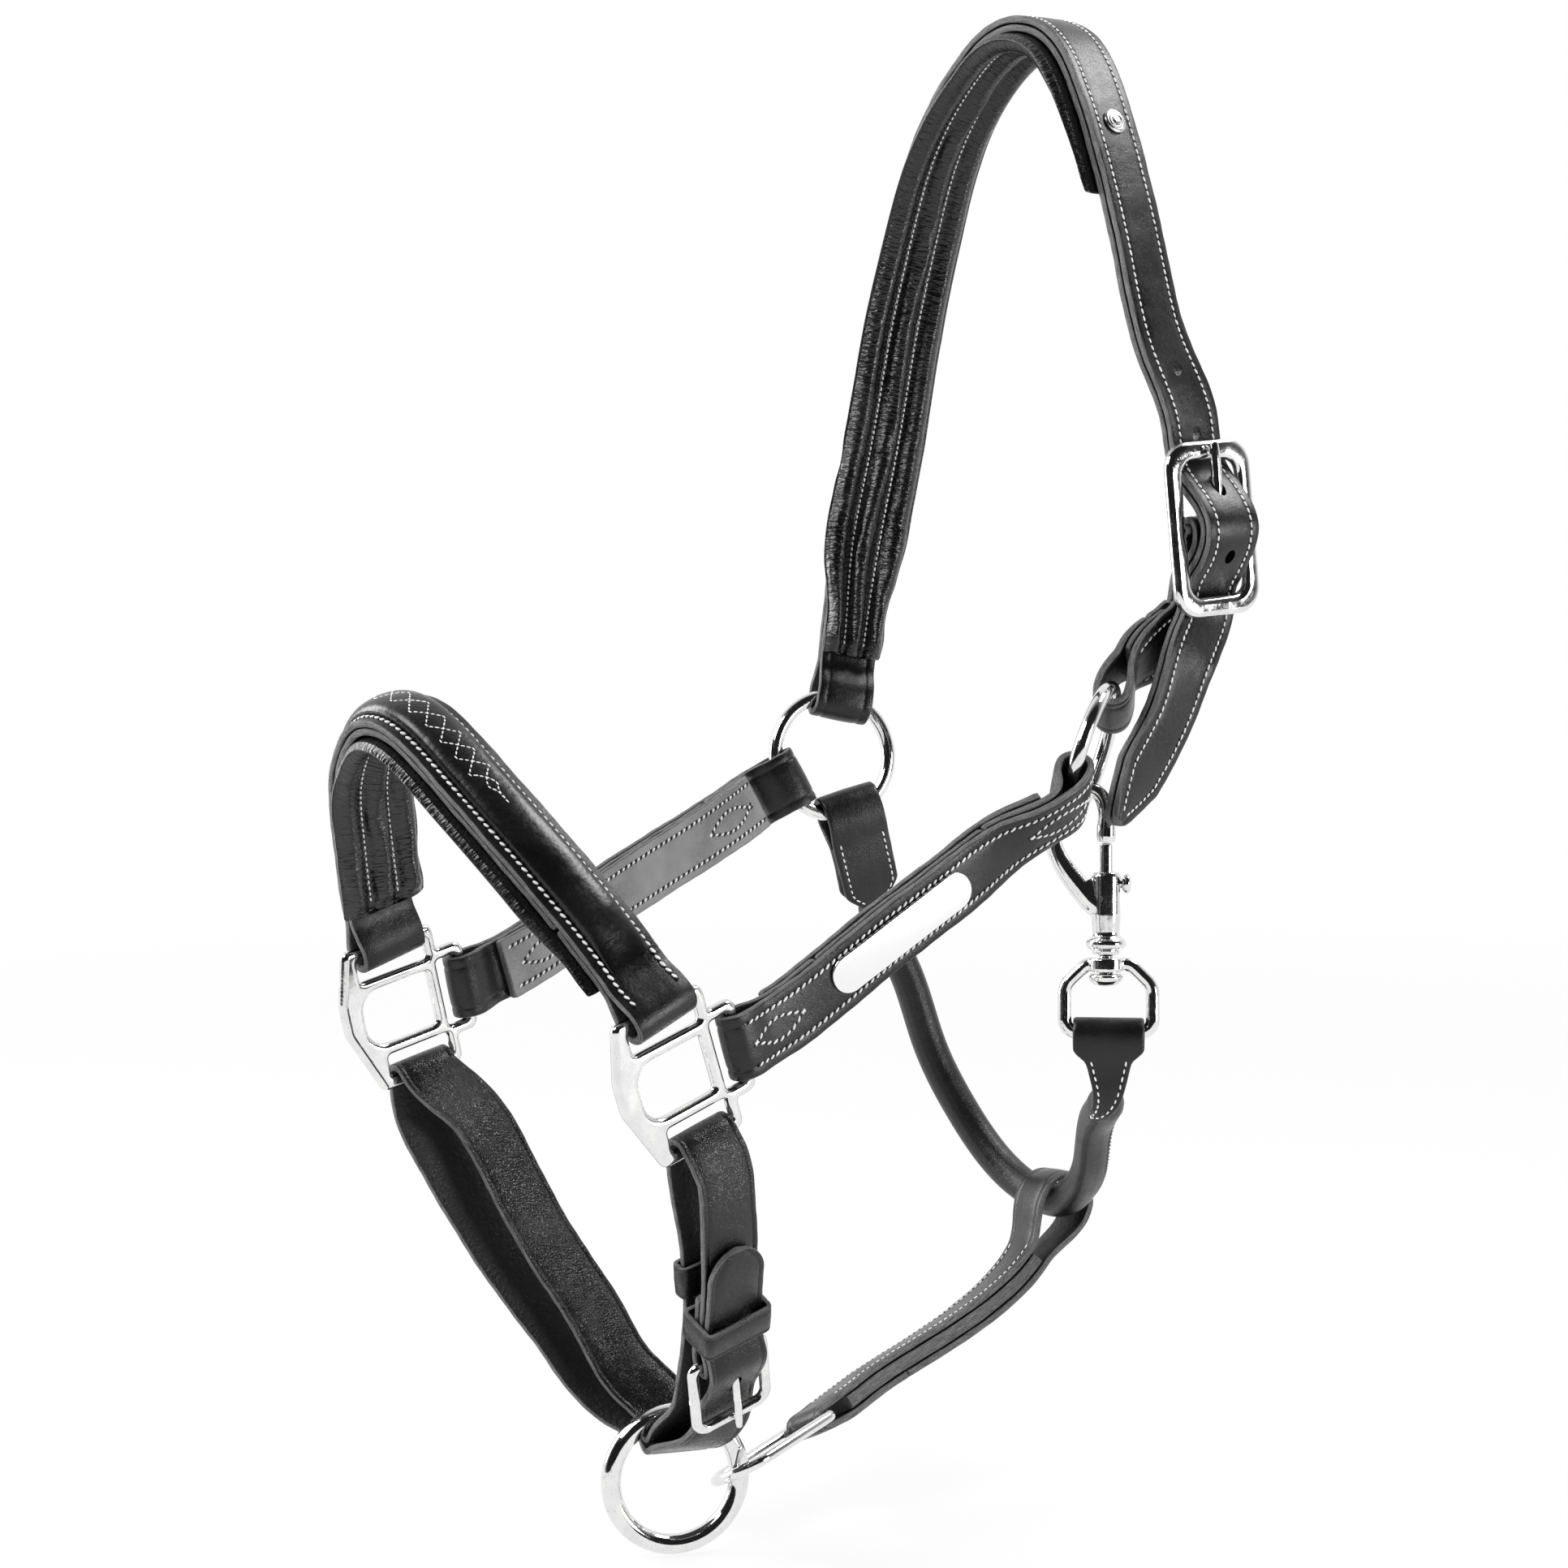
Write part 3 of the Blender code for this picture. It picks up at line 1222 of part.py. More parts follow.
hang_run = throat.nearest((0.0, 57.0, -195.5))
hang_place, hang_along, _, _ = throat.frame(hang_run)
hang_way = square_to((0.0, 19.0, 25.5), hang_along)
hang_face = -np.cross(hang_way, hang_along)
connector = Guide(
    [
        (link_rear, LINK.normal),
        (link_rear + link_way * 12.0, LINK.normal),
        ((3.0, -54.0, -258.0), (-0.42, -0.28, 0.87)),
        ((1.0, -20.0, -248.0), (-0.40, -0.30, 0.86)),
        ((0.0, 14.0, -236.0), (-0.36, -0.40, 0.82)),
        ((0.0, 38.0, -221.0), (-0.32, -0.60, 0.72)),
        (hang_place, hang_face),
    ]
)
connector_end = connector.length
LAYER = CONNECTOR_PLY + GAP
CONNECTOR_OUT = 1.5 * LAYER
LINK_FOLD = LINK_WIRE / 2 + GAP + CONNECTOR_PLY / 2
ROLL_FOLD = ROLL_DIAMETER / 2 + ROLL_EASE + GAP + CONNECTOR_PLY / 2
LINK_FLAT = 13.0
ROLL_FLAT = 27.0


def connector_side(sign, start, stop):
    """One long side of the connector, between the two folds' ends."""
    low = (1.5, sign * LINK_FOLD)
    level = sign * CONNECTOR_OUT
    high = (connector_end - 2.0, sign * ROLL_FOLD)
    path = []
    if start is None:
        path += [low, *sloped(low, (LINK_FLAT, level)), (LINK_FLAT, level)]
    else:
        path.append((start, level))
    if stop is None:
        path += run_path(path[-1][0], connector_end - ROLL_FLAT, level)[1:]
        path += [*sloped(path[-1], high, 4), high]
    else:
        path += run_path(path[-1][0], stop, level)[1:]
    return path


CONNECTOR_JOIN = 0.3 * connector_end
connector_path = connector_side(-1, None, CONNECTOR_JOIN)[::-1]
connector_path += fold(0.0, 1, LINK_FOLD)
connector_path += connector_side(1, None, None)
connector_path += fold(connector_end, -1, ROLL_FOLD, steps=8)[::-1]
connector_path += connector_side(-1, CONNECTOR_JOIN + 1.0, None)[::-1]
connector_finish = leather("connector_strap")
ribbon(
    "connector_strap", connector, connector_path, CONNECTOR_WIDTH, CONNECTOR_PLY, connector_finish
)
filler = run_path(LINK_FLAT + 1.0, connector_end - ROLL_FLAT - 1.0, 0.0)
CONNECTOR_FILLER = 2 * CONNECTOR_PLY
filler_finish = leather("connector_filler")
ribbon("connector_filler", connector, filler, CONNECTOR_WIDTH, CONNECTOR_FILLER, filler_finish)


# Throat: a rolled strap whose two ends are flat tabs, folded and stitched.

TAB_LENGTH = 46.0
TAB_FLAT = 20.0
SNAP_FLAP = 44.0


def tab_width(taper, tip):
    def span(travel, total):
        left = min(travel, total - travel)
        return TAB_WIDTH if left >= taper else tip + (TAB_WIDTH - tip) * ease(left / taper)

    return span


def tab(name, at, way, radius, slack, length, taper, tip, lift):
    """A folded tab at one end of the throat, its two leaves closing onto the roll."""
    level = CROWN_PLY_OUT
    back = [(at + way * length, -level), (at + way * (length * 0.7), -level)]
    back += [(at + way * (length * 0.45), -level)]
    path = back[:-1] + folded_end(at, way, radius, at + way * length * 0.45, -level, level, slack)
    path += [(at + way * length * 0.45, level), (at + way * length * 0.7, level + lift * 0.6)]
    path += [(at + way * length * 0.9, level + lift * 0.9), (at + way * length, level + lift)]
    return as_cutter(ribbon(name, throat, path, tab_width(taper, tip), PLY, None))


EYE_FOLD = EYE_WIRE / 2 + GAP + PLY / 2
ring_tab = tab("ring_tab", 0.0, 1, RING_FOLD, RING_SLACK, TAB_LENGTH, 26.0, 9.0, 2.0)
snap_tab = tab("snap_tab", throat.length, -1, EYE_FOLD, 0.0, SNAP_FLAP, 34.0, 3.0, 4.5)
ROLL_PITCH = 9.5
roll_points = []
roll_radii = []
roll_start, roll_stop = TAB_FLAT + 6.0, throat.length - 12.0
rolls = round((roll_stop - roll_start) / ROLL_PITCH)
for k in range(rolls + 1):
    run = roll_start + (roll_stop - roll_start) * k / rolls
    near_end = min(run - roll_start, roll_stop - run)
    roll_points.append(throat.point(run))
    roll_radii.append(0.3 + 0.7 * ease(min(1.0, near_end / 24.0)))
throat_roll = as_mesh(
    wire("throat_strap", roll_points, ROLL_DIAMETER, leather("throat_strap"), radii=roll_radii, sides=3)
)
boolean(throat_roll, ring_tab, "UNION")
boolean(throat_roll, snap_tab, "UNION")


# Bolt snap. In its frame: up the barrel, then left as seen by the camera.

BARREL_TOP = 2.5
BARREL_BOTTOM = BARREL_TOP - SNAP_BARREL_LENGTH
COLLAR = 16.0
NOSE_BOTTOM = 14.3
BOLT_TOP = 14.0
BOLT_BOTTOM = -12.5
KNOB = -2.0
BORE = SNAP_BOLT + 0.8
SHANK = 5.0
HEAD = 14.0
eye_top = -37.0
barrel = SNAP_BARREL / 2
profile = [
    (BARREL_TOP, barrel - 0.8),
    (BARREL_TOP - 1.5, barrel),
    (-10.0, barrel),
    (-17.0, barrel - 1.2),
    (BARREL_BOTTOM + 3.5, barrel - 1.4),
    (BARREL_BOTTOM + 1.0, COLLAR / 2 - 1.0),
    (BARREL_BOTTOM - 1.5, COLLAR / 2),
    (BARREL_BOTTOM - 3.5, COLLAR / 2 - 1.2),
    (BARREL_BOTTOM - 4.6, SHANK / 2 + 1.0),
    (BARREL_BOTTOM - 4.8, SHANK / 2),
    (eye_top - EYE_WIRE / 2 - 0.9, SHANK / 2),
    (eye_top - EYE_WIRE / 2 - 0.9, HEAD / 2 - 1.0),
    (eye_top - EYE_WIRE / 2 - 2.4, HEAD / 2),
    (eye_top - EYE_WIRE / 2 - 5.0, HEAD / 2 - 2.5),
    (eye_top - EYE_WIRE / 2 - 6.0, HEAD / 2 - 5.0),
]
snap_body = turned(
    "snap_body", SNAP.centre, SNAP.first, SNAP.second, profile, steel("snap_body"), 16
)
hook_line = [
    (-13.0, 1.5), (-9.5, 5.5), (-2.3, 11.5), (4.5, 16.5), (11.0, 19.8), (18.0, 21.3),
    (25.0, 20.6), (31.0, 17.0), (34.8, 11.0), (34.8, 5.0), (31.0, 1.2), (25.0, 0.0),
    (20.0, 0.0), (16.5, 0.0), (NOSE_BOTTOM, 0.0),
]
hook_sizes = [1.0, 1.15, 1.25, 1.25, 1.15, 1.05, 1.0, 1.0, 1.0, 1.0, 1.0, 1.05, 1.2, 1.2, 1.05]
hook_knots = np.arange(len(hook_line), dtype=float)
fine = np.linspace(0, len(hook_line) - 1, 2 * len(hook_line) - 1)
hook_smooth = spline(hook_knots, np.array(hook_line), fine)
hook_points = [SNAP.at(a, b) for a, b in hook_smooth]
hook_radii = list(np.interp(fine, hook_knots, hook_sizes))
hook = as_mesh(wire("hook", hook_points, SNAP_HOOK_WIRE, None, radii=hook_radii, sides=3))
boolean(snap_body, as_cutter(hook), "UNION")
bore_depth = BOLT_BOTTOM - SNAP_TRAVEL - 0.5
bore = turned(
    "bore", SNAP.centre, SNAP.first, SNAP.second,
    [(bore_depth, BORE / 2), (BARREL_TOP + 1.0, BORE / 2)], None, 16,
)
boolean(snap_body, as_cutter(bore))
KNOB_STEM = 3.2
slot_top, slot_bottom = KNOB + KNOB_STEM / 2 + 0.4, KNOB - SNAP_TRAVEL - KNOB_STEM / 2 - 0.4
slot_half = KNOB_STEM / 2 + 0.35
slot_corners = [
    (slot_bottom, -slot_half, 1.2), (slot_top, -slot_half, 1.2),
    (slot_top, slot_half, 1.2), (slot_bottom, slot_half, 1.2),
]
thumb_slot_frame = Frame(SNAP.at(0.0, -6.0), SNAP.first, -SNAP.second)
thumb_slot = flat_plate("thumb_slot", thumb_slot_frame, [rounded(slot_corners, 2)], 10.0, None)
boolean(snap_body, as_cutter(thumb_slot))

bolt = turned(
    "snap_bolt", SNAP.centre, SNAP.first, SNAP.second,
    [(BOLT_BOTTOM, SNAP_BOLT / 2), (BOLT_TOP - 0.8, SNAP_BOLT / 2), (BOLT_TOP, SNAP_BOLT / 2 - 0.8)],
    steel("snap_bolt"), 16,
)
stem = turned(
    "stem", SNAP.at(KNOB, 0.0), -SNAP.second, SNAP.first,
    [(0.0, KNOB_STEM / 2), (8.4, KNOB_STEM / 2)], None, 12,
)
thumb_corners = [(-5.0, -2.4, 2.2), (5.0, -2.4, 2.2), (5.0, 2.4, 2.2), (-5.0, 2.4, 2.2)]
thumb_frame = Frame(SNAP.at(KNOB, -8.6), SNAP.first, -SNAP.second)
thumb = flat_plate("thumb", thumb_frame, [rounded(thumb_corners, 3)], 2.2, None, bevel=0.5)
boolean(bolt, as_cutter(stem), "UNION")
boolean(bolt, as_cutter(thumb), "UNION")
to_origin(bolt, SNAP.centre)
to_origin(snap_body, SNAP.centre)

eye_half = (EYE_WIDTH - EYE_WIRE) / 2
eye_corners = [
    (eye_top, -8.5, 3.0), (eye_top, 8.5, 3.0), (eye_top - 8.0, eye_half, 4.0),
    (EYE_DROP, eye_half, 4.5), (EYE_DROP, -eye_half, 4.5), (eye_top - 8.0, -eye_half, 4.0),
]
eye_points = [SNAP.at(a, b - 1.0) for a, b in rounded(eye_corners, 2)]
eye_finish = steel("snap_swivel_eye")
eye = as_mesh(wire("snap_swivel_eye", eye_points, EYE_WIRE, eye_finish, closed=True, sides=3))
boss = turned(
    "boss", SNAP.centre, SNAP.first, SNAP.second,
    [(eye_top - EYE_WIRE / 2 - 0.3, 5.4), (eye_top + EYE_WIRE / 2 + 0.3, 5.4)], None, 20,
)
shank_hole = turned(
    "shank_hole", SNAP.centre, SNAP.first, SNAP.second,
    [(eye_top - 6.0, SHANK / 2 + 0.3), (eye_top + 6.0, SHANK / 2 + 0.3)], None, 20,
)
boolean(eye, as_cutter(boss), "UNION")
boolean(eye, as_cutter(shank_hole))
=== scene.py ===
import math

import bmesh
import bpy
import numpy as np
from mathutils import Matrix, Vector
from mathutils.bvhtree import BVHTree


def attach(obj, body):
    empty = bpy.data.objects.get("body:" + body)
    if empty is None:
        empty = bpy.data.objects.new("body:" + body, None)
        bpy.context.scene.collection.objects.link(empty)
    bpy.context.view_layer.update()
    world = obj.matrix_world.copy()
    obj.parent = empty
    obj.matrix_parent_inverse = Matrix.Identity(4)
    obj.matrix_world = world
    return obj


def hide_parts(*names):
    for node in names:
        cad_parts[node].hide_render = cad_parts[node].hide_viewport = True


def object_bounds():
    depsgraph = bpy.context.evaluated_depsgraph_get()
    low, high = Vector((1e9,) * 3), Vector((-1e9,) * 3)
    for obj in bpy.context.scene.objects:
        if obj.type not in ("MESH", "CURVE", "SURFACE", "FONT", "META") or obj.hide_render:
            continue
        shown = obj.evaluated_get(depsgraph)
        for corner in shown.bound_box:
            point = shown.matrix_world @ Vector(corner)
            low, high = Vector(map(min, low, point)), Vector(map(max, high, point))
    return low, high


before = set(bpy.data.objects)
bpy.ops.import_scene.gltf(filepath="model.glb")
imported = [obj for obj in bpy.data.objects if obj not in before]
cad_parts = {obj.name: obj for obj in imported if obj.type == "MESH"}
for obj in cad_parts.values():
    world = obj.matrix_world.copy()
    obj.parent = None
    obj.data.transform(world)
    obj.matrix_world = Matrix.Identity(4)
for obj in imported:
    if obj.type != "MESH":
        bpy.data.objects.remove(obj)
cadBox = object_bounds()
mm = 0.001
print("frame loaded")

# Lengths below are in millimetres. +X is the near side, -Y is the nose, +Z is up.

gap = 0.3
ply = {"strap": 3.0, "filler": 2.6, "chin": 2.8, "connector": 2.8}
wide = {"strap": 25.0, "nose": 28.0, "chin": 25.0, "connector": 22.0}
wire = {"ring": 6.0, "chinRing": 8.0, "link": 4.6, "chinBuckle": 4.4, "hook": 6.4, "eye": 5.5}


# directions and places

def unit(way):
    way = np.asarray(way, float)
    return way / np.linalg.norm(way)


def units(ways):
    return ways / np.maximum(np.linalg.norm(ways, axis=1, keepdims=True), 1e-9)


def squareTo(way, axis):
    axis = unit(axis)
    return unit(np.asarray(way, float) - axis * np.dot(way, axis))


def ease(share):
    share = np.clip(share, 0, 1)
    return share * share * (3 - 2 * share)


def travelOf(points):
    return np.concatenate([[0], np.cumsum(np.linalg.norm(np.diff(points, axis=0), axis=1))])


def readRows(table, knots, at):
    return np.stack([np.interp(at, knots, column) for column in table.T], axis=1)


def softened(rows, times):
    for _ in range(times):
        rows[1:-1] = rows[:-2] * 0.25 + rows[1:-1] * 0.5 + rows[2:] * 0.25
    return rows


def circle(first, second, steps):
    turns = np.linspace(0, 2 * math.pi, steps, endpoint=False)[:, None]
    return np.cos(turns) * first + np.sin(turns) * second


class Seat:
    # where a fitting sits: a centre and three ways square to each other

    def __init__(self, centre, first, normal):
        self.centre = np.asarray(centre, float)
        self.normal = unit(normal)
        self.first = squareTo(first, normal)
        self.second = np.cross(self.normal, self.first)

    def at(self, first, second=0.0, normal=0.0):
        return self.centre + self.first * first + self.second * second + self.normal * normal

    def matrix(self):
        turn = Matrix(np.stack([self.first, self.second, self.normal], axis=1).tolist()).to_4x4()
        return Matrix.Translation(Vector(self.centre * mm)) @ turn


def smoothThrough(knots, values, at):
    values = np.asarray(values, float)
    gaps, count = np.diff(knots), len(knots)
    system, right = np.eye(count), np.zeros_like(values)
    for i in range(1, count - 1):
        system[i, i - 1:i + 2] = gaps[i - 1], 2 * (gaps[i - 1] + gaps[i]), gaps[i]
        right[i] = 6 * ((values[i + 1] - values[i]) / gaps[i] - (values[i] - values[i - 1]) / gaps[i - 1])
    bend = np.linalg.solve(system, right)
    cell = np.clip(np.searchsorted(knots, at, side="right") - 1, 0, count - 2)
    width = gaps[cell][:, None]
    before = (np.asarray(at) - np.asarray(knots)[cell])[:, None]
    after = width - before
    curve = (bend[cell] * after**3 + bend[cell + 1] * before**3) / (6 * width)
    curve += (values[cell] / width - bend[cell] * width / 6) * after
    return curve + (values[cell + 1] / width - bend[cell + 1] * width / 6) * before


class StrapLine:
    # the middle of a strap, with the way its face looks at each point

    def __init__(self, points, samples=600):
        places = np.array([place for place, face in points], float)
        chord = travelOf(places)
        fine = np.linspace(0, chord[-1], samples)
        self.line = smoothThrough(chord, places, fine)
        self.faces = readRows(np.array([unit(face) for place, face in points]), chord, fine)
        self.run = travelOf(self.line)
        self.length = self.run[-1]
        self.along = np.gradient(self.line, self.run, axis=0)

    def frames(self, runs):
        runs = np.atleast_1d(np.asarray(runs, float))
        inside = np.clip(runs, 0.0, self.length)
        along = units(readRows(self.along, self.run, inside))
        face = readRows(self.faces, self.run, inside)
        face = units(face - along * np.sum(face * along, axis=1, keepdims=True))
        place = readRows(self.line, self.run, inside) + along * (runs - inside)[:, None]
        return place, along, np.cross(along, face), face

    def frame(self, run):
        return tuple(part[0] for part in self.frames([run]))

    def point(self, run, across=0.0, height=0.0):
        place, _, side, face = self.frame(run)
        return place + side * across + face * height

    def nearest(self, place):
        return self.run[np.argmin(np.linalg.norm(self.line - np.asarray(place), axis=1))]


# the way of a ply beside its strap line, as (run, height)

def level(start, stop, height, pitch=2.0):
    count = max(1, round(abs(stop - start) / pitch))
    return [(start + (stop - start) * k / count, height) for k in range(count + 1)]


def sloped(start, stop, steps=9):
    shares = [k / steps for k in range(1, steps)]
    return [(start[0] + (stop[0] - start[0]) * s, start[1] + (stop[1] - start[1]) * ease(s)) for s in shares]


def fold(at, way, radius, slack=0.0, steps=16):
    angles = [math.pi * (k / steps - 0.5) for k in range(steps + 1)]
    return [(at - way * (slack + radius * math.cos(a)), radius * math.sin(a)) for a in angles]


def foldedEnd(at, way, radius, tip, back, front, slack=0.0):
    straight, flat = at + way, at + way * 15.0
    path = level(tip, flat, back)
    path += sloped(path[-1], (straight, -radius)) + fold(at, way, radius, slack)
    return path + sloped((straight, radius), (flat, front)) + [(flat, front)]


def foldedBoth(end, firstRadius, lastRadius, back, front, slack=0.0):
    path = foldedEnd(0.0, 1, firstRadius, turnBack, back, front, slack)
    path += level(15.0, end - 15.0, front)[1:-1]
    return path + foldedEnd(end, -1, lastRadius, end - turnBack, back, front)[::-1]


def drawIn(radius, width):
    return radius - math.sqrt(radius * radius - width * width / 4)


def evenPath(path, pitch=1.4, soften=2):
    # the same path in short even steps, its corners softened
    path = np.array(path, float)
    path = path[np.append(True, np.linalg.norm(np.diff(path, axis=0), axis=1) > 1e-6)]
    travel = travelOf(path)
    fine = np.linspace(0, travel[-1], max(3, round(travel[-1] / pitch)) + 1)
    return softened(readRows(path, travel, fine), soften), fine


class Lay:
    # where a ply lies in space: its middle, the way across it and the way its grain side looks

    def __init__(self, middle, across, travel, closed=False):
        self.middle, self.across, self.travel = middle, across, travel
        self.along = units(np.roll(middle, -1, axis=0) - np.roll(middle, 1, axis=0) if closed
                           else np.gradient(middle, axis=0))
        self.out = units(np.cross(across, self.along))

    def surface(self, travel, across, height):
        out, side, place = (readRows(table, self.travel, travel) for table in
                            (self.out, self.across, self.middle))
        out = units(out)
        return place + units(side) * np.reshape(across, (-1, 1)) + out * np.reshape(height, (-1, 1)), out

    def spread(self, across, height):
        return (self.middle[:, None] + self.across[:, None] * across[..., None]
                + self.out[:, None] * height[..., None])

    def nearest(self, place):
        return self.travel[np.argmin(np.linalg.norm(self.middle - place, axis=1))]


def layOn(line, path, pitch=1.4, soften=2):
    path, travel = evenPath(path, pitch, soften)
    place, _, across, face = line.frames(path[:, 0])
    return Lay(place + face * path[:, 1:], across, travel)


# meshes

def keepMesh(name, mesh, material=None):
    piece = bpy.data.objects.new(name, mesh)
    bpy.context.scene.collection.objects.link(piece)
    if material:
        mesh.materials.append(material)
    return piece


def newPiece(name, verts, faces=(), edges=(), material=None):
    mesh = bpy.data.meshes.new(name)
    mesh.from_pydata((np.asarray(verts) * mm).tolist(), edges, faces)
    return keepMesh(name, mesh, material)


def dress(piece, material):
    piece.data.materials.clear()
    piece.data.materials.append(material)
    return piece


def reworked(piece, work):
    bm = bmesh.new()
    bm.from_mesh(piece.data)
    work(bm)
    bm.to_mesh(piece.data)
    bm.free()


def outwards(piece, sharp):
    def turn(bm):
        bmesh.ops.remove_doubles(bm, verts=bm.verts[:], dist=1e-6)
        bmesh.ops.recalc_face_normals(bm, faces=bm.faces[:])

    reworked(piece, turn)
    piece.data.shade_smooth()
    piece.data.set_sharp_from_angle(angle=math.radians(sharp))
    return piece


def gridFaces(rows, count, closed=False, way=1):
    # way is the order of the first cap's corners, which the cloth solver's result depends on
    low = np.arange(rows if closed else rows - 1)[:, None] * count
    high = (low + count) % (rows * count)
    ring, after = np.arange(count), np.roll(np.arange(count), -1)
    faces = np.stack([low + ring, low + after, high + after, high + ring], axis=-1).reshape(-1, 4).tolist()
    caps = [list(range(count))[::way], [(rows - 1) * count + k for k in range(count)]]
    return faces + (caps if not closed else [])


def loft(name, points, travel, material, sharp, closed=False, marks=()):
    # a body through rows of points, with a map that runs along and round it
    rows, count = points.shape[:2]
    faces = gridFaces(rows, count, closed, -1 if marks else 1)
    piece = newPiece(name, points.reshape(-1, 3), faces, material=material)
    around = travelOf(np.vstack([points[rows // 2], points[rows // 2][:1]]))
    low, ring = np.arange(rows if closed else rows - 1), np.arange(count)
    u = np.append(travel, travel[-1] + 1.0)[np.stack([low, low, low + 1, low + 1], axis=-1)]
    v = around[np.stack([ring, ring + 1, ring + 1, ring], axis=-1)]
    uv = np.stack([np.repeat(u[:, None], count, axis=1), np.repeat(v[None], len(low), axis=0)], axis=-1)
    mapped = np.zeros(len(piece.data.loops) * 2)
    mapped[:uv.size] = uv.ravel() * mm
    piece.data.uv_layers.new(name="along").data.foreach_set("uv", mapped)
    for label, table in marks:
        made = piece.data.attributes.new(label, "FLOAT", "POINT")
        made.data.foreach_set("value", np.broadcast_to(table, (rows, count)).ravel())
    return outwards(piece, sharp)


def plyEdge(thickness, rows=None, crease=None, crown=0.2, soft=0.75):
    # a ply's section, from the middle of the grain side round both edges: side, is it measured
    # from the edge, where, height, raw edge, flesh side
    top = thickness / 2
    half = [(0, 0.0, top + crown, 0, 0), (0, 0.45, top + crown * 0.9, 0, 0),
            (0, 0.8, top + crown * 0.6, 0, 0)]
    if rows:
        half += [(1, rows + off, top - dip, 0, 0) for off, dip in
                 ((1.4, -0.08), (0.6, 0.1), (0.0, 0.26), (-0.6, 0.1), (-1.2, -0.02))]
    if crease:
        half += [(1, crease + off, top - dip, 0, 0) for off, dip in ((0.45, 0.0), (0.0, 0.24), (-0.4, 0.0))]
    half += [(1, soft, top - 0.04, 0.1, 0), (1, soft * 0.35, top - soft * 0.3, 0.6, 0),
             (1, 0.05, top - soft * 0.8, 1, 0), (1, -0.05, 0.0, 1, 0.3),
             (1, 0.05, soft * 0.8 - top, 1, 0.6), (1, soft * 0.35, soft * 0.3 - top, 0.6, 1),
             (1, soft, -top, 0.1, 1), (0, 0.8, -top, 0, 1), (0, 0.45, -top, 0, 1)]
    return ([(1, *point) for point in half + [(0, 0.0, -top, 0, 1)]]
            + [(-1, *point) for point in half[:0:-1]])


def sweep(name, lay, width, edge, material, closed=False, uneven=0.08):
    # a ply along its lay, with its small unevenness
    rows = len(lay.middle)
    half = np.broadcast_to(np.asarray(width, float) / 2, (rows,)).copy()
    half += 0.10 * np.sin(lay.travel * 0.23 + len(name)) + 0.05 * np.sin(lay.travel * 0.71)
    half = half[:, None]
    side, fromEdge, where, height, raw, flesh = np.array(edge, float).T
    edgeDepth = 6.5
    narrow = np.minimum(1.0, half / (edgeDepth + 2.0))
    across = side * np.where(fromEdge == 1, half - where * narrow, where * (half - edgeDepth * narrow))
    height = height + uneven * np.sin(lay.travel * 0.31 + 2.0)[:, None] * np.sign(height) * 0.5
    points = lay.spread(across, height)
    raw = np.broadcast_to(raw, across.shape).copy()
    if not closed:
        for end in (0, rows - 1):  # the cut ends are drawn in a little
            points[end] = lay.middle[end] + (points[end] - lay.middle[end]) * 0.965
            raw[end] = 1.0
    return loft(name, points, lay.travel, material, 80 if closed else 50, closed,
                (("rawEdge", raw), ("fleshSide", flesh)))


def settle(piece):
    # the piece with its modifiers and its place worked into its mesh
    bpy.context.view_layer.update()
    graph = bpy.context.evaluated_depsgraph_get()
    mesh = bpy.data.meshes.new_from_object(piece.evaluated_get(graph))
    mesh.transform(piece.matrix_world)
    name = piece.name
    bpy.data.objects.remove(piece, do_unlink=True)
    return keepMesh(name, mesh)


def onSkin(piece, places, outs, lift=0.0, reach=6.0):
    # the places moved onto the piece's skin, seen along outs, with the way the skin looks there
    bm = bmesh.new()
    bm.from_mesh(piece.data)
    skin = BVHTree.FromBMesh(bm)
    bm.free()
    found, ways = [], []
    for place, out in zip(places, np.broadcast_to(outs, np.shape(places))):
        hit, way, _, _ = skin.ray_cast(Vector((place + out * reach) * mm), Vector(-out), 2 * reach * mm)
        found.append(place if hit is None else np.array(hit) / mm + out * lift)
        ways.append(out if hit is None else np.array(way))
    return np.array(found), np.array(ways)


def join(*pieces):
    made = keepMesh("joined", bpy.data.meshes.new("joined"))
    for piece in map(settle, pieces):
        reworked(made, lambda bm: bm.from_mesh(piece.data))
        bpy.data.objects.remove(piece, do_unlink=True)
    return made


def punch(piece, *holes, sides=20):
    # oval holes, each (seat, length, width, depth)
    verts, faces = [], []
    for seat, length, width, depth in holes:
        first = len(verts)
        for height in (-depth / 2, depth / 2):
            oval = circle(seat.first * length / 2, seat.second * width / 2, sides)
            verts += (seat.centre + oval + seat.normal * height).tolist()
        faces += [[first + corner for corner in face] for face in gridFaces(2, sides)]
    cutter = newPiece("punch", verts, faces)
    reworked(cutter, lambda bm: bmesh.ops.recalc_face_normals(bm, faces=bm.faces[:]))
    step = piece.modifiers.new("punch", "BOOLEAN")
    step.object, step.operation, step.solver = cutter, "DIFFERENCE", "EXACT"
    material = piece.data.materials[0]
    made = dress(settle(piece), material)
    bpy.data.objects.remove(cutter, do_unlink=True)
    return made


def drawnCurve(lines, closed, dimensions="3D", radii=None, **settings):
    curve = bpy.data.curves.new("drawn", "CURVE")
    curve.dimensions = dimensions
    for label, value in settings.items():
        setattr(curve, label, value)
    for points in lines:
        line = curve.splines.new("POLY")
        line.points.add(len(points) - 1)
        for k, place in enumerate(points):
            line.points[k].co = (*(np.asarray(place) * mm), 1.0)
            line.points[k].radius = 1.0 if radii is None else radii[k]
        line.use_cyclic_u = closed
    return keepMesh("drawn", curve)


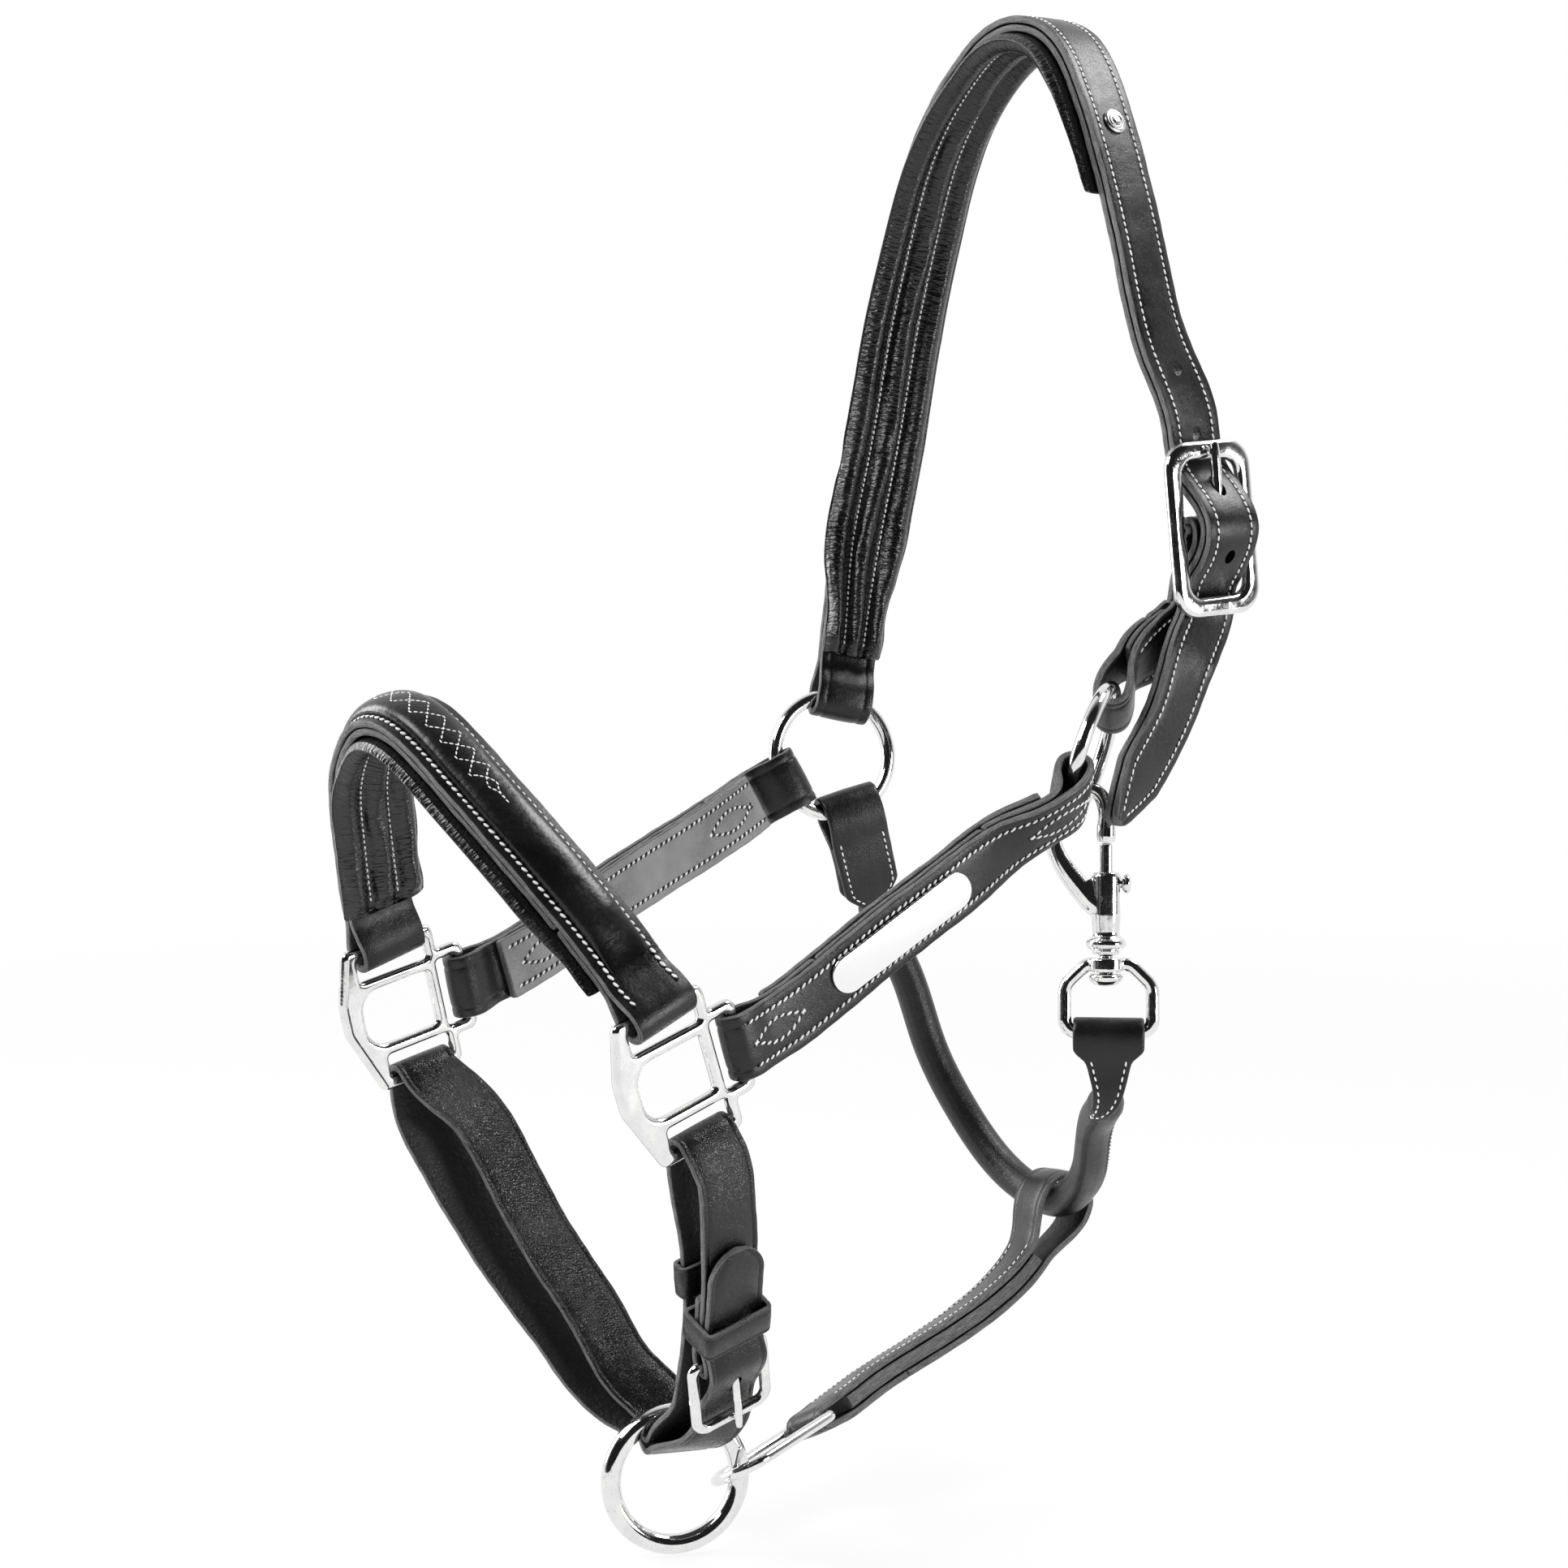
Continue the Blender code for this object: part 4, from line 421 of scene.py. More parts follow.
def plate(seat, outlines, thickness, bevel, steps):
    # a flat plate with rounded edges; the first outline is its rim, the others are openings
    piece = drawnCurve([[(x, y, 0.0) for x, y in outline] for outline in outlines], True, "2D",
                       fill_mode="BOTH", extrude=(thickness / 2 - bevel) * mm, bevel_depth=bevel * mm,
                       bevel_resolution=steps, offset=-bevel * mm)
    piece.matrix_world = seat.matrix()
    return outwards(settle(piece), 40)


def rod(points, diameter, radii=None, closed=False, steps=6):
    return outwards(settle(drawnCurve([points], closed, radii=radii, bevel_depth=diameter / 2 * mm,
                                      bevel_resolution=steps, use_fill_caps=not closed)), 60)


def rounded(corners, steps=6):
    # each corner is (x, y, radius)
    outline = []
    for k, (x, y, radius) in enumerate(corners):
        here = np.array([x, y])
        toBefore = unit(np.array(corners[k - 1][:2]) - here)
        toAfter = unit(np.array(corners[(k + 1) % len(corners)][:2]) - here)
        half = math.acos(np.clip(np.dot(toBefore, toAfter), -1, 1)) / 2
        inset = radius / math.tan(half)
        centre = here + unit(toBefore + toAfter) * radius / math.sin(half)
        first = math.atan2(*(here + toBefore * inset - centre)[::-1])
        turn = math.atan2(*(here + toAfter * inset - centre)[::-1]) - first
        turn = (turn + math.pi) % (2 * math.pi) - math.pi
        for step in range(steps + 1):
            angle = first + turn * step / steps
            outline.append((centre[0] + radius * math.cos(angle), centre[1] + radius * math.sin(angle)))
    return outline


def box(halfX, halfY, left, right=None):
    # four corners with their radii, for rounded
    right = left if right is None else right
    return [(-halfX, -halfY, left), (halfX, -halfY, right), (halfX, halfY, right), (-halfX, halfY, left)]


def turned(centre, axis, side, profile, sides=40, material=None):
    # a lathe piece: the profile is (run along the axis, radius)
    axis = unit(axis)
    side = squareTo(side, axis)
    spin = circle(side, np.cross(axis, side), sides)
    verts = np.concatenate([np.asarray(centre) + axis * run + spin * radius for run, radius in profile])
    return outwards(newPiece("turned", verts, gridFaces(len(profile), sides), material=material), 35)


# materials

class Nodes:
    # a node tree, with short ways to add what the looks are made of

    def __init__(self, tree):
        self.tree = tree

    def put(self, value, socket):
        if isinstance(value, bpy.types.NodeSocket):
            self.tree.links.new(value, socket)
        else:
            socket.default_value = value

    def add(self, kind, settings=None, **inputs):
        made = self.tree.nodes.new(kind)
        for label, value in (settings or {}).items():
            setattr(made, label, value)
        for label, value in inputs.items():
            self.put(value, made.inputs[int(label[1:]) if label[1:].isdigit() else label.replace("_", " ")])
        return made.outputs

    def math(self, a, b, operation="ADD", **settings):
        return self.add("ShaderNodeMath", {"operation": operation, **settings}, i0=a, i1=b)[0]

    def times(self, a, b):
        return self.math(a, b, "MULTIPLY")

    def perMetre(self, size):
        return self.math(1000.0, size, "DIVIDE")

    def noise(self, place, scale, detail=2.0, **more):
        return self.add("ShaderNodeTexNoise", None, Vector=place, Scale=scale, Detail=detail, **more)["Fac"]

    def ranged(self, value, fromLow, fromHigh, low=0.0, high=1.0, kind="LINEAR"):
        return self.add("ShaderNodeMapRange", {"interpolation_type": kind}, Value=value, From_Min=fromLow,
                        From_Max=fromHigh, To_Min=low, To_Max=high)[0]

    def stretch(self, place, by):
        return self.add("ShaderNodeVectorMath", {"operation": "MULTIPLY"}, i0=place, i1=by)[0]

    def vector(self, x, y, z):
        return self.add("ShaderNodeCombineXYZ", None, X=x, Y=y, Z=z)[0]

    def blend(self, fac, a, b):
        a, b = ((c, c, c, 1.0) if isinstance(c, float) else c for c in (a, b))
        return self.add("ShaderNodeMix", {"data_type": "RGBA"}, i0=fac, i6=a, i7=b)[2]

    def bump(self, height, strength, distance, below=None):
        more = {"Normal": below} if below else {}
        return self.add("ShaderNodeBump", None, Height=height, Strength=strength, Distance=distance,
                        **more)[0]

    def objectPlace(self):
        return self.add("ShaderNodeTexCoord")["Object"]

    def group(self, tree, **inputs):
        return self.add("ShaderNodeGroup", {"node_tree": tree}, **inputs)


def newGroup(name, kind, inputs, outputs):
    # an input's value is the number it starts from, or its kind of socket
    tree = bpy.data.node_groups.new(name, kind)
    for label, value in inputs.items():
        socket = value if isinstance(value, str) else "Int" if isinstance(value, int) else "Float"
        made = tree.interface.new_socket(label, in_out="INPUT", socket_type="NodeSocket" + socket)
        if socket != value:
            made.default_value = value
    for label in outputs:
        socket = "Geometry" if kind == "GeometryNodeTree" else "Float"
        tree.interface.new_socket(label, in_out="OUTPUT", socket_type="NodeSocket" + socket)
    start, end = tree.nodes.new("NodeGroupInput"), tree.nodes.new("NodeGroupOutput")
    return Nodes(tree), start.outputs, lambda **given: [tree.links.new(given[label], end.inputs[label])
                                                        for label in given]


def grainGroup():
    nodes, given, give = newGroup("leatherGrain", "ShaderNodeTree",
                                  {"Place": "Vector", "Pore Size": 0.7, "Patch Size": 18.0},
                                  ("Height", "Tone", "Gloss", "Pebble"))
    place, pores = given["Place"], nodes.perMetre(given["Pore Size"])
    cells = nodes.add("ShaderNodeTexVoronoi", {"feature": "DISTANCE_TO_EDGE"}, Vector=place, Scale=pores)
    fine = nodes.noise(place, nodes.times(pores, 0.55), 4.0, Roughness=0.6)
    patch = nodes.noise(place, nodes.perMetre(given["Patch Size"]), 5.0, Roughness=0.55)
    pebble = nodes.add("ShaderNodeTexVoronoi", {"feature": "SMOOTH_F1"}, Vector=place,
                       Scale=nodes.times(pores, 0.62), Smoothness=0.6)
    cell = nodes.times(nodes.ranged(cells["Distance"], 0.0, 0.28), 0.55)
    give(Height=nodes.math(cell, nodes.times(fine, 0.6)), Tone=patch, Gloss=nodes.times(fine, patch),
         Pebble=pebble["Distance"])
    return nodes.tree


def creaseGroup():
    # fine creases across a soft roll, and longer ones: they follow the map named along
    nodes, given, give = newGroup("softCreases", "ShaderNodeTree",
                                  {"Map": "Vector", "Spacing": 1.6, "Reach": 7.0}, ("Height",))
    place = nodes.stretch(given["Map"], nodes.vector(nodes.perMetre(given["Spacing"]),
                                                     nodes.perMetre(given["Reach"]), 1.0))
    ridges = nodes.ranged(nodes.noise(place, 1.0, Roughness=0.5, Distortion=0.6), 0.32, 0.68)
    give(Height=nodes.math(ridges, nodes.noise(place, 0.37, 1.0)))
    return nodes.tree


def edgeGroup():
    # cut edges show their fibres, rubbed edges their paler colour
    nodes, given, give = newGroup("cutEdge", "ShaderNodeTree",
                                  {"Place": "Vector", "Map": "Vector", "Raw": 0.0, "Fibre": 0.5},
                                  ("Mask", "Tone", "Height"))
    streak = nodes.noise(nodes.stretch(given["Map"], (150.0, 2300.0, 1.0)), 1.0, 3.0, Roughness=0.65)
    speck = nodes.noise(given["Place"], nodes.perMetre(given["Fibre"]), 3.0, Roughness=0.7)
    fibre = nodes.ranged(nodes.math(streak, speck), 0.75, 1.25)
    ragged = nodes.math(given["Raw"], nodes.times(nodes.noise(given["Place"], 90.0, 3.0), 0.5))
    mask = nodes.ranged(ragged, 0.5, 0.95, kind="SMOOTHSTEP")
    give(Mask=mask, Tone=fibre, Height=nodes.times(fibre, mask))
    return nodes.tree


def polishGroup():
    # faint hand polishing: cloudy gloss and hair scratches
    nodes, given, give = newGroup("handPolish", "ShaderNodeTree", {"Place": "Vector", "Cloud Size": 9.0},
                                  ("Cloud", "Scratch", "Height"))
    place = given["Place"]
    hair = nodes.noise(nodes.stretch(place, (260.0, 1900.0, 700.0)), 1.0)
    give(Cloud=nodes.noise(place, nodes.perMetre(given["Cloud Size"]), 5.0, Roughness=0.6),
         Scratch=nodes.ranged(hair, 0.62, 0.7), Height=nodes.noise(place, 160.0))
    return nodes.tree


grain, creases, cutEdge, handPolish = grainGroup(), creaseGroup(), edgeGroup(), polishGroup()


def newLook(name):
    made = bpy.data.materials.new(name)
    made.use_nodes = True
    return made, Nodes(made.node_tree), made.node_tree.nodes["Principled BSDF"].inputs


def leatherLook(name, dark=0.0025, pale=0.008, rough=0.3, pore=0.75, relief=0.12, crease=None,
                edge=0.13, flesh=0.01, shine=0.45):
    # dyed black leather: grain side, flesh side and cut edges in one material
    made, nodes, shader = newLook(name)
    place = nodes.objectPlace()
    raw, under = (nodes.add("ShaderNodeAttribute", {"attribute_name": label})["Fac"]
                  for label in ("rawEdge", "fleshSide"))
    along = nodes.add("ShaderNodeUVMap", {"uv_map": "along"})[0]
    skin = nodes.group(grain, Place=place, Pore_Size=pore, Patch_Size=22.0)
    cut = nodes.group(cutEdge, Place=place, Map=along, Raw=raw, Fibre=0.45)
    top = nodes.blend(nodes.ranged(skin["Tone"], 0.3, 0.7), dark, pale)
    fibres = nodes.blend(cut["Tone"], edge * 0.12, edge * 1.7)
    nodes.put(nodes.blend(cut["Mask"], nodes.blend(under, top, flesh), fibres), shader["Base Color"])
    gloss = nodes.ranged(skin["Gloss"], 0.1, 0.45, rough - 0.07, rough + 0.13)
    gloss = nodes.math(nodes.math(gloss, nodes.times(under, 0.22)), nodes.times(cut["Mask"], 0.3))
    nodes.put(gloss, shader["Roughness"])
    bump = nodes.bump(skin["Tone"], 0.5, 0.0014)
    bump = nodes.bump(skin["Height"], relief * 4, 0.00012, bump)
    bump = nodes.bump(nodes.times(skin["Pebble"], under), 0.8, 0.0003, bump)
    bump = nodes.bump(cut["Height"], 0.6, 0.0004, bump)
    if crease:
        folds = nodes.group(creases, Map=along, Spacing=crease[0], Reach=crease[1])
        bump = nodes.bump(folds["Height"], crease[2], 0.0006, bump)
    nodes.put(bump, shader["Normal"])
    nodes.put(shine, shader["Specular IOR Level"])
    return made


def steelLook(name, shade=0.8, rough=0.07, marks=1.0):
    made, nodes, shader = newLook(name)
    polish = nodes.group(handPolish, Place=nodes.objectPlace(), Cloud_Size=9.0)
    cloud = nodes.ranged(polish["Cloud"], 0.35, 0.65, 0.5 - marks / 2, 0.5 + marks / 2)
    colour = nodes.blend(cloud, (shade * 0.93, shade * 0.93, shade * 0.94, 1.0),
                         (shade * 1.05, shade * 1.05, shade * 1.04, 1.0))
    scratch = nodes.times(polish["Scratch"], marks)
    nodes.put(nodes.blend(scratch, colour, shade * 0.8), shader["Base Color"])
    gloss = nodes.ranged(cloud, 0.0, 1.0, rough - 0.03, rough + 0.06)
    nodes.put(nodes.math(gloss, nodes.times(scratch, 0.12)), shader["Roughness"])
    nodes.put(nodes.bump(polish["Height"], 0.12 * marks, 0.0004), shader["Normal"])
    nodes.put(1.0, shader["Metallic"])
    return made


def threadLook(name, shade=0.95):
    made, nodes, shader = newLook(name)
    fuzz = nodes.noise(nodes.objectPlace(), 2600.0)
    worn = nodes.ranged(nodes.noise(nodes.objectPlace(), 55.0, 3.0), 0.4, 0.75, 0.0, 0.4)
    clean = nodes.blend(fuzz, shade * 0.8, shade)
    nodes.put(nodes.blend(worn, clean, shade * 0.62), shader["Base Color"])
    nodes.put(nodes.bump(fuzz, 0.5, 0.0001), shader["Normal"])
    nodes.put(nodes.ranged(fuzz, 0.0, 1.0, 0.55, 0.85), shader["Roughness"])
    return made


strapLeather = leatherLook("strapLeather")
grainedLeather = leatherLook("grainedLeather", pore=0.9, relief=0.25, rough=0.25, flesh=0.005)
# the off cheek's lining: its pale grey colour is a painted sheen on the leather
paintedSheenLeather = leatherLook("paintedSheenLeather", dark=0.16, pale=0.28, rough=0.3, relief=0.2)
padLeather = leatherLook("padLeather", rough=0.22, pore=0.6, relief=0.05, crease=(1.5, 6.0, 0.5), shine=0.6)
raisedLeather = leatherLook("raisedLeather", rough=0.24, pore=0.8, relief=0.04, crease=(2.6, 5.0, 0.06))
rollLeather = leatherLook("rollLeather", rough=0.33, pore=0.8, relief=0.16)
# near-black beads put on the surface at the needle's holes: painted shade, not cut holes
paintedHoleShade = leatherLook("paintedHoleShade", dark=0.001, pale=0.002, rough=0.6)
steel = steelLook("polishedSteel")
plateSteel = steelLook("plateSteel", 0.9, 0.16, 0.1)
satinSteel = steelLook("satinSteel", 0.7, 0.26, 0.5)
thread = threadLook("whiteThread")
print("materials ready")


def finish(piece, nodeName, body="halter"):
    # the piece gets its name from the solid it stands for
    piece.name = pieceName(nodeName)
    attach(piece, body)
    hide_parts(nodeName)
    return piece


def pieceName(nodeName):
    first, *rest = nodeName.split("_")
    return first + "".join(word.capitalize() for word in rest)


def strap(nodeName, lay, width, edge, leather=strapLeather, cuts=()):
    piece = sweep(pieceName(nodeName), lay, width, edge, leather)
    for cut in cuts:
        piece = punch(piece, *cut)
    return finish(piece, nodeName)


def metal(piece, nodeName, body="halter"):
    return finish(piece, nodeName, body)


def cast(piece, grainSize, passes, material=steel, seat=None):
    # one smooth casting from rough or overlapping bodies; on a seat, its flat faces come out flat
    if seat:
        piece.data.transform(seat.matrix().inverted())
    fuse = piece.modifiers.new("fuse", "REMESH")
    fuse.mode, fuse.voxel_size = "VOXEL", grainSize * mm
    made = dress(settle(piece), material)

    def smooth(bm):
        for _ in range(passes):
            bmesh.ops.smooth_vert(bm, verts=bm.verts[:], factor=0.5, use_axis_x=True, use_axis_y=True,
                                  use_axis_z=True)

    reworked(made, smooth)
    made.data.shade_smooth()
    if seat:
        made.data.transform(seat.matrix())
    return made


# stitching: one tree lays stitches along seam lines, and between them near-black beads, painted shade of the needle's
# holes

def stitchTree():
    nodes, given, give = newGroup("seamStitches", "GeometryNodeTree", {
        "Seam": "Geometry", "Pitch": 0.003, "Length": 0.0024, "Thick": 0.0008, "Slant": 0.16, "Seed": 7,
        "Hole Length": 0.0011, "Thread": "Material", "Hole": "Material"}, ("Stitches",))

    def chance(low, high, seed):
        return nodes.add("FunctionNodeRandomValue", {"data_type": "FLOAT"}, i2=low, i3=high, Seed=seed)[1]

    def scaled(vector, by):
        return nodes.add("ShaderNodeVectorMath", {"operation": "SCALE"}, i0=vector, i3=by)[0]

    def twisted(flat, by):
        return nodes.add("FunctionNodeRotateRotation", {"rotation_space": "LOCAL"}, Rotation=flat,
                         Rotate_By=by)[0]

    def beads(points, segments, rings, turn, size, material):
        shape = nodes.add("GeometryNodeMeshUVSphere", None, Segments=segments, Rings=rings, Radius=0.5)[0]
        many = nodes.add("GeometryNodeInstanceOnPoints", None, Points=points, Instance=shape, Rotation=turn,
                         Scale=size)[0]
        real = nodes.add("GeometryNodeRealizeInstances", None, Geometry=many)[0]
        return nodes.add("GeometryNodeSetMaterial", None, Geometry=real, Material=material)[0]

    seam = nodes.add("GeometryNodeMeshToCurve", None, Mesh=given["Seam"])[0]
    even = nodes.add("GeometryNodeResampleCurve", {"mode": "LENGTH"}, Curve=seam, Length=given["Pitch"])[0]
    tangent = nodes.add("GeometryNodeInputTangent")[0]
    face = nodes.add("GeometryNodeInputNamedAttribute", {"data_type": "FLOAT_VECTOR"}, Name="faceWay")
    along = nodes.add("FunctionNodeAlignRotationToVector", {"axis": "X"}, Vector=tangent)[0]
    flat = nodes.add("FunctionNodeAlignRotationToVector", {"axis": "Z", "pivot_axis": "X"}, Rotation=along,
                     Vector=face["Attribute"])[0]
    slant = nodes.math(given["Slant"], chance(-0.09, 0.09, given["Seed"]))
    size = nodes.vector(given["Length"], given["Thick"], nodes.times(given["Thick"], 0.85))
    size = scaled(size, chance(0.88, 1.08, nodes.math(given["Seed"], 11.0)))
    white = beads(even, 8, 5, twisted(flat, nodes.vector(0.0, 0.0, slant)), size, given["Thread"])
    shifted = nodes.add("GeometryNodeSetPosition", None, Geometry=even,
                        Offset=scaled(tangent, nodes.times(given["Pitch"], 0.5)))[0]
    hole = given["Hole Length"]
    holeSize = nodes.vector(hole, nodes.times(hole, 0.42), nodes.times(hole, 0.3))
    # dark beads between the stitches: painted shade of the needle's holes
    dark = beads(shifted, 6, 4, twisted(flat, (0.0, 0.0, 0.7)), holeSize, given["Hole"])
    joined = nodes.tree.nodes.new("GeometryNodeJoinGeometry")
    nodes.put(dark, joined.inputs[0])
    nodes.put(white, joined.inputs[0])
    give(Stitches=nodes.add("GeometryNodeSetShadeSmooth", None, Geometry=joined.outputs[0])[0])
    return nodes.tree


seamStitches = stitchTree()


def sew(name, seams, pitch=3.0, length=2.5, thick=0.85, slant=0.16, hole=1.2):
    # seams: (places, the ways their surface looks)
    verts, edges, ways = [], [], []
    for places, outs in seams:
        first = len(verts)
        verts += np.asarray(places).tolist()
        ways += np.broadcast_to(outs, np.shape(places)).tolist()
        edges += [(first + k, first + k + 1) for k in range(len(places) - 1)]
    piece = newPiece(name + "Seams", verts, edges=edges)
    piece.data.attributes.new("faceWay", "FLOAT_VECTOR", "POINT").data.foreach_set("vector", np.ravel(ways))
    step = piece.modifiers.new("stitches", "NODES")
    step.node_group = seamStitches
    values = {"Pitch": pitch * mm, "Length": length * mm, "Thick": thick * mm, "Slant": slant, "Seed": 7,
              "Hole Length": hole * mm, "Thread": thread, "Hole": paintedHoleShade}
    for item in seamStitches.interface.items_tree:
        if item.in_out == "INPUT" and item.name in values:
            step[item.identifier] = values[item.name]
    made = settle(piece)
    made.name = name
    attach(made, "halter")


def seamOn(lay, travel, across, height, face=1):
    place, out = lay.surface(travel, across, height * face)
    return place, out * face


def rowsOn(lay, start, stop, offset, height, face=1):
    # two seams along a lay, at this distance from its middle
    travel = np.linspace(start, stop, max(2, round(abs(stop - start) / 1.5)))
    across = offset(travel) if callable(offset) else offset
    return [seamOn(lay, travel, sign * across, height, face) for sign in (1, -1)]


# where the fittings sit

nearSquare = Seat((74.0, -200.0, -101.0), (0.0, 0.951, 0.309), (1.0, 0.0, 0.0))
offSquare = Seat((-74.0, -226.0, -92.0), (0.0, 0.974, 0.225), (1.0, 0.0, 0.0))
nearRing = Seat((84.0, -2.6, 7.8), (0.142, 0.269, 0.953), (0.79, 0.549, -0.273))
offRing = Seat((-82.0, 0.0, -5.0), (0.0, 0.3, 0.95), (0.93, -0.33, 0.15))
chinRing = Seat((7.0, -151.5, -275.5), (0.0, 0.0, 1.0), (0.93, -0.36, 0.05))
buckle = Seat((98.0, 49.0, 95.0), (0.063, 0.063, -0.996), (1.0, -0.1, 0.057))
snap = Seat((91.3, -1.2, -42.0), (-0.055, 0.045, 0.997), (0.722, -0.686, 0.086))
ringRadius = 26.0
square = {"thickness": 4.6, "opening": (31.0, 22.0), "bar": 5.0, "slot": 8.5, "rim": 5.0,
          "noseSlot": 31.0, "cheekSlot": 27.0, "chinSlot": 28.0, "noseShift": 1.5, "chinShift": 4.9}


def squarePorts(seat):
    # the middles of the three outer bars
    reach = square["bar"] + square["slot"] + square["rim"] / 2
    halfA, halfB = (side / 2 for side in square["opening"])
    return {"nose": seat.at(square["noseShift"], halfB + reach), "cheek": seat.at(halfA + reach),
            "chin": seat.at(square["chinShift"], -halfB - reach)}


nearPorts, offPorts = squarePorts(nearSquare), squarePorts(offSquare)
ringFold = wire["ring"] / 2 + 1.7 + ply["strap"] / 2
ringSlack = drawIn(ringRadius, wide["strap"]) - 0.4
barHalf = math.hypot(square["thickness"], square["rim"]) / 2 + gap
barFold = barHalf + ply["strap"] / 2
stack = ply["strap"] + gap
halfPly = ply["strap"] / 2
turnBack = 44.0
ringTurn = turnBack + math.pi * ringFold / 2 + ringSlack  # how much of a strap its turned end takes


# cheekpieces

cheekLook = {"rowInset": 4.0, "almondFrom": 16.0, "almondLength": 25.0, "almondHalf": 4.2, "raise": 36.0,
             "near": {"length": 2.7, "hole": 1.7}, "off": {"length": 2.0, "hole": 2.6}}


def cheek(side, ring, seat, bar, outward, lift, liningLeather):
    way = squareTo(bar + np.array((0.0, 0.0, lift)) - ring.centre, ring.normal)
    start = ring.centre + way * ringRadius
    ringFace = ring.normal * np.sign(ring.normal[0] * outward)
    squareFace = seat.normal * np.sign(seat.normal[0] * outward)
    entry = bar + seat.first * 14.0
    lead = entry - start
    line = StrapLine([
        (start, ringFace), (start + way * 9.0, ringFace), (start + lead * 0.2, 3 * ringFace + 2 * squareFace),
        (start + lead * 0.34, ringFace + 7 * squareFace), (start + lead * 0.65, squareFace),
        (entry, squareFace), (bar, squareFace)])
    end, outer = line.length, stack + 0.15
    lay = layOn(line, foldedBoth(end, ringFold, barFold, 0.0, outer, ringSlack))
    inner = layOn(line, level(end - 18.0, 18.0, -outer))
    edge = plyEdge(ply["strap"], rows=cheekLook["rowInset"])
    strap(side + "_cheek_strap", lay, wide["strap"], edge)
    strap(side + "_cheek_filler", layOn(line, level(turnBack + 1, end - turnBack - 1, 0.0)),
          wide["strap"] - 0.4, plyEdge(ply["filler"]))
    strap(side + "_cheek_lining", inner, wide["strap"], edge, liningLeather)
    offset = wide["strap"] / 2 - cheekLook["rowInset"]
    total, innerEnd = lay.travel[-1], inner.travel[-1]
    seams = rowsOn(lay, ringTurn + 13.0, total - ringTurn - 8.0, offset, halfPly)
    seams += rowsOn(inner, 4.0, innerEnd - 4.0, offset, halfPly)
    reach, size = cheekLook["almondFrom"], cheekLook["almondLength"]
    share = np.linspace(0, 1, 20)
    for where, on in ((ringTurn + reach, lay), (total - ringTurn - reach - size + 8.0, lay), (8.0, inner),
                      (innerEnd - 8.0 - size, inner)):
        for sign in (1, -1):
            bulge = sign * cheekLook["almondHalf"] * np.sin(np.pi * share)
            seams.append(seamOn(on, where + size * share, bulge, halfPly + 0.2))
    sew(side + "CheekStitches", seams, thick=1.0, slant=0.42, **cheekLook[side])
    return line


nearCheek = cheek("near", nearRing, nearSquare, nearPorts["cheek"], 1.0, cheekLook["raise"], strapLeather)
# the off lining takes the leather whose pale grey is a painted sheen
cheek("off", offRing, offSquare, offPorts["cheek"], -1.0, 0.0, paintedSheenLeather)
print("cheekpieces made")


# crown

crownLook = {"rowInset": 4.1, "taper": 24.0, "tip": 4.0, "padStart": 17.0, "padWidth": 37.0,
             "padThickness": 9.0, "padThin": 62.0, "stud": 10.5, "holePitch": 27.0, "hole": (6.5, 4.6, 14.0),
             "prongHole": (7.4, 5.8, 23.0), "weaveTop": 11.0, "weaveBack": -7.6, "weaveHalf": 31.5}


def weave(s):
    # how high the billet lies over the buckle's middle plane
    top, back = crownLook["weaveTop"], crownLook["weaveBack"]
    return (top + back) / 2 + (top - back) / 2 * math.cos(math.pi * s / crownLook["weaveHalf"])


offUp = squareTo((-0.03, 0.23, 0.97), offRing.normal)
crownStart = offRing.centre + offUp * ringRadius
crownPoints = [
    (crownStart, -offRing.normal), (crownStart + offUp * 14.0, -offRing.normal),
    ((-88, 19.5, 81), (-0.93, 0.33, -0.10)), ((-91.5, 34, 130), (-0.94, 0.33, 0.05)),
    ((-89, 43, 182), (-0.93, 0.28, 0.20)), ((-79, 46, 224), (-0.86, 0.20, 0.45)),
    ((-61.5, 44.5, 260), (-0.66, 0.08, 0.73)), ((-36, 44, 288), (-0.40, 0.0, 0.92)),
    ((-5, 41, 301), (0.0, 0.0, 1.0)), ((26, 38, 293), (0.45, 0.0, 0.90)),
    ((45, 35, 271), (0.75, 0.0, 0.66)), ((60, 34, 238), (0.88, 0.0, 0.45)),
    ((71.5, 34.5, 202), (0.94, 0.0, 0.30)), ((81.5, 37.5, 166), (0.98, -0.05, 0.18)),
    (buckle.at(-43.0, 0.0, weave(-31.5) - 0.8), buckle.normal)]
crownPoints += [(buckle.at(s, 0.0, weave(s)), buckle.normal)
                for s in (-31.5, -23.6, -15.75, -7.9, 0.0, 7.9, 15.75, 23.6, 31.5)]
crownPoints += [((95.6, 41, 47), (0.99, -0.07, 0.06)), ((94.5, 30, 22), (0.97, 0.13, 0.05)),
                ((95.5, 13, 0), (0.97, 0.20, 0.05)), ((99, -5, -19), (0.97, 0.20, 0.0))]
crown = StrapLine(crownPoints, 900)
crownOut = (ply["strap"] + 0.55) / 2
prongReach = -14.0
prongRun = crown.nearest(buckle.at(prongReach, 0.0, weave(prongReach)))


def billetWidth(lay):
    width, taper, tip = wide["strap"], crownLook["taper"], crownLook["tip"]
    left = lay.travel[-1] - lay.travel
    return np.where(left >= taper, width, tip + (width - tip) * (np.clip(left, 0, taper) / taper) ** 0.7)


def billetRow(lay):
    inset = crownLook["rowInset"]
    return lambda travel: np.maximum(0.9, np.interp(travel, lay.travel, billetWidth(lay)) / 2 - inset)


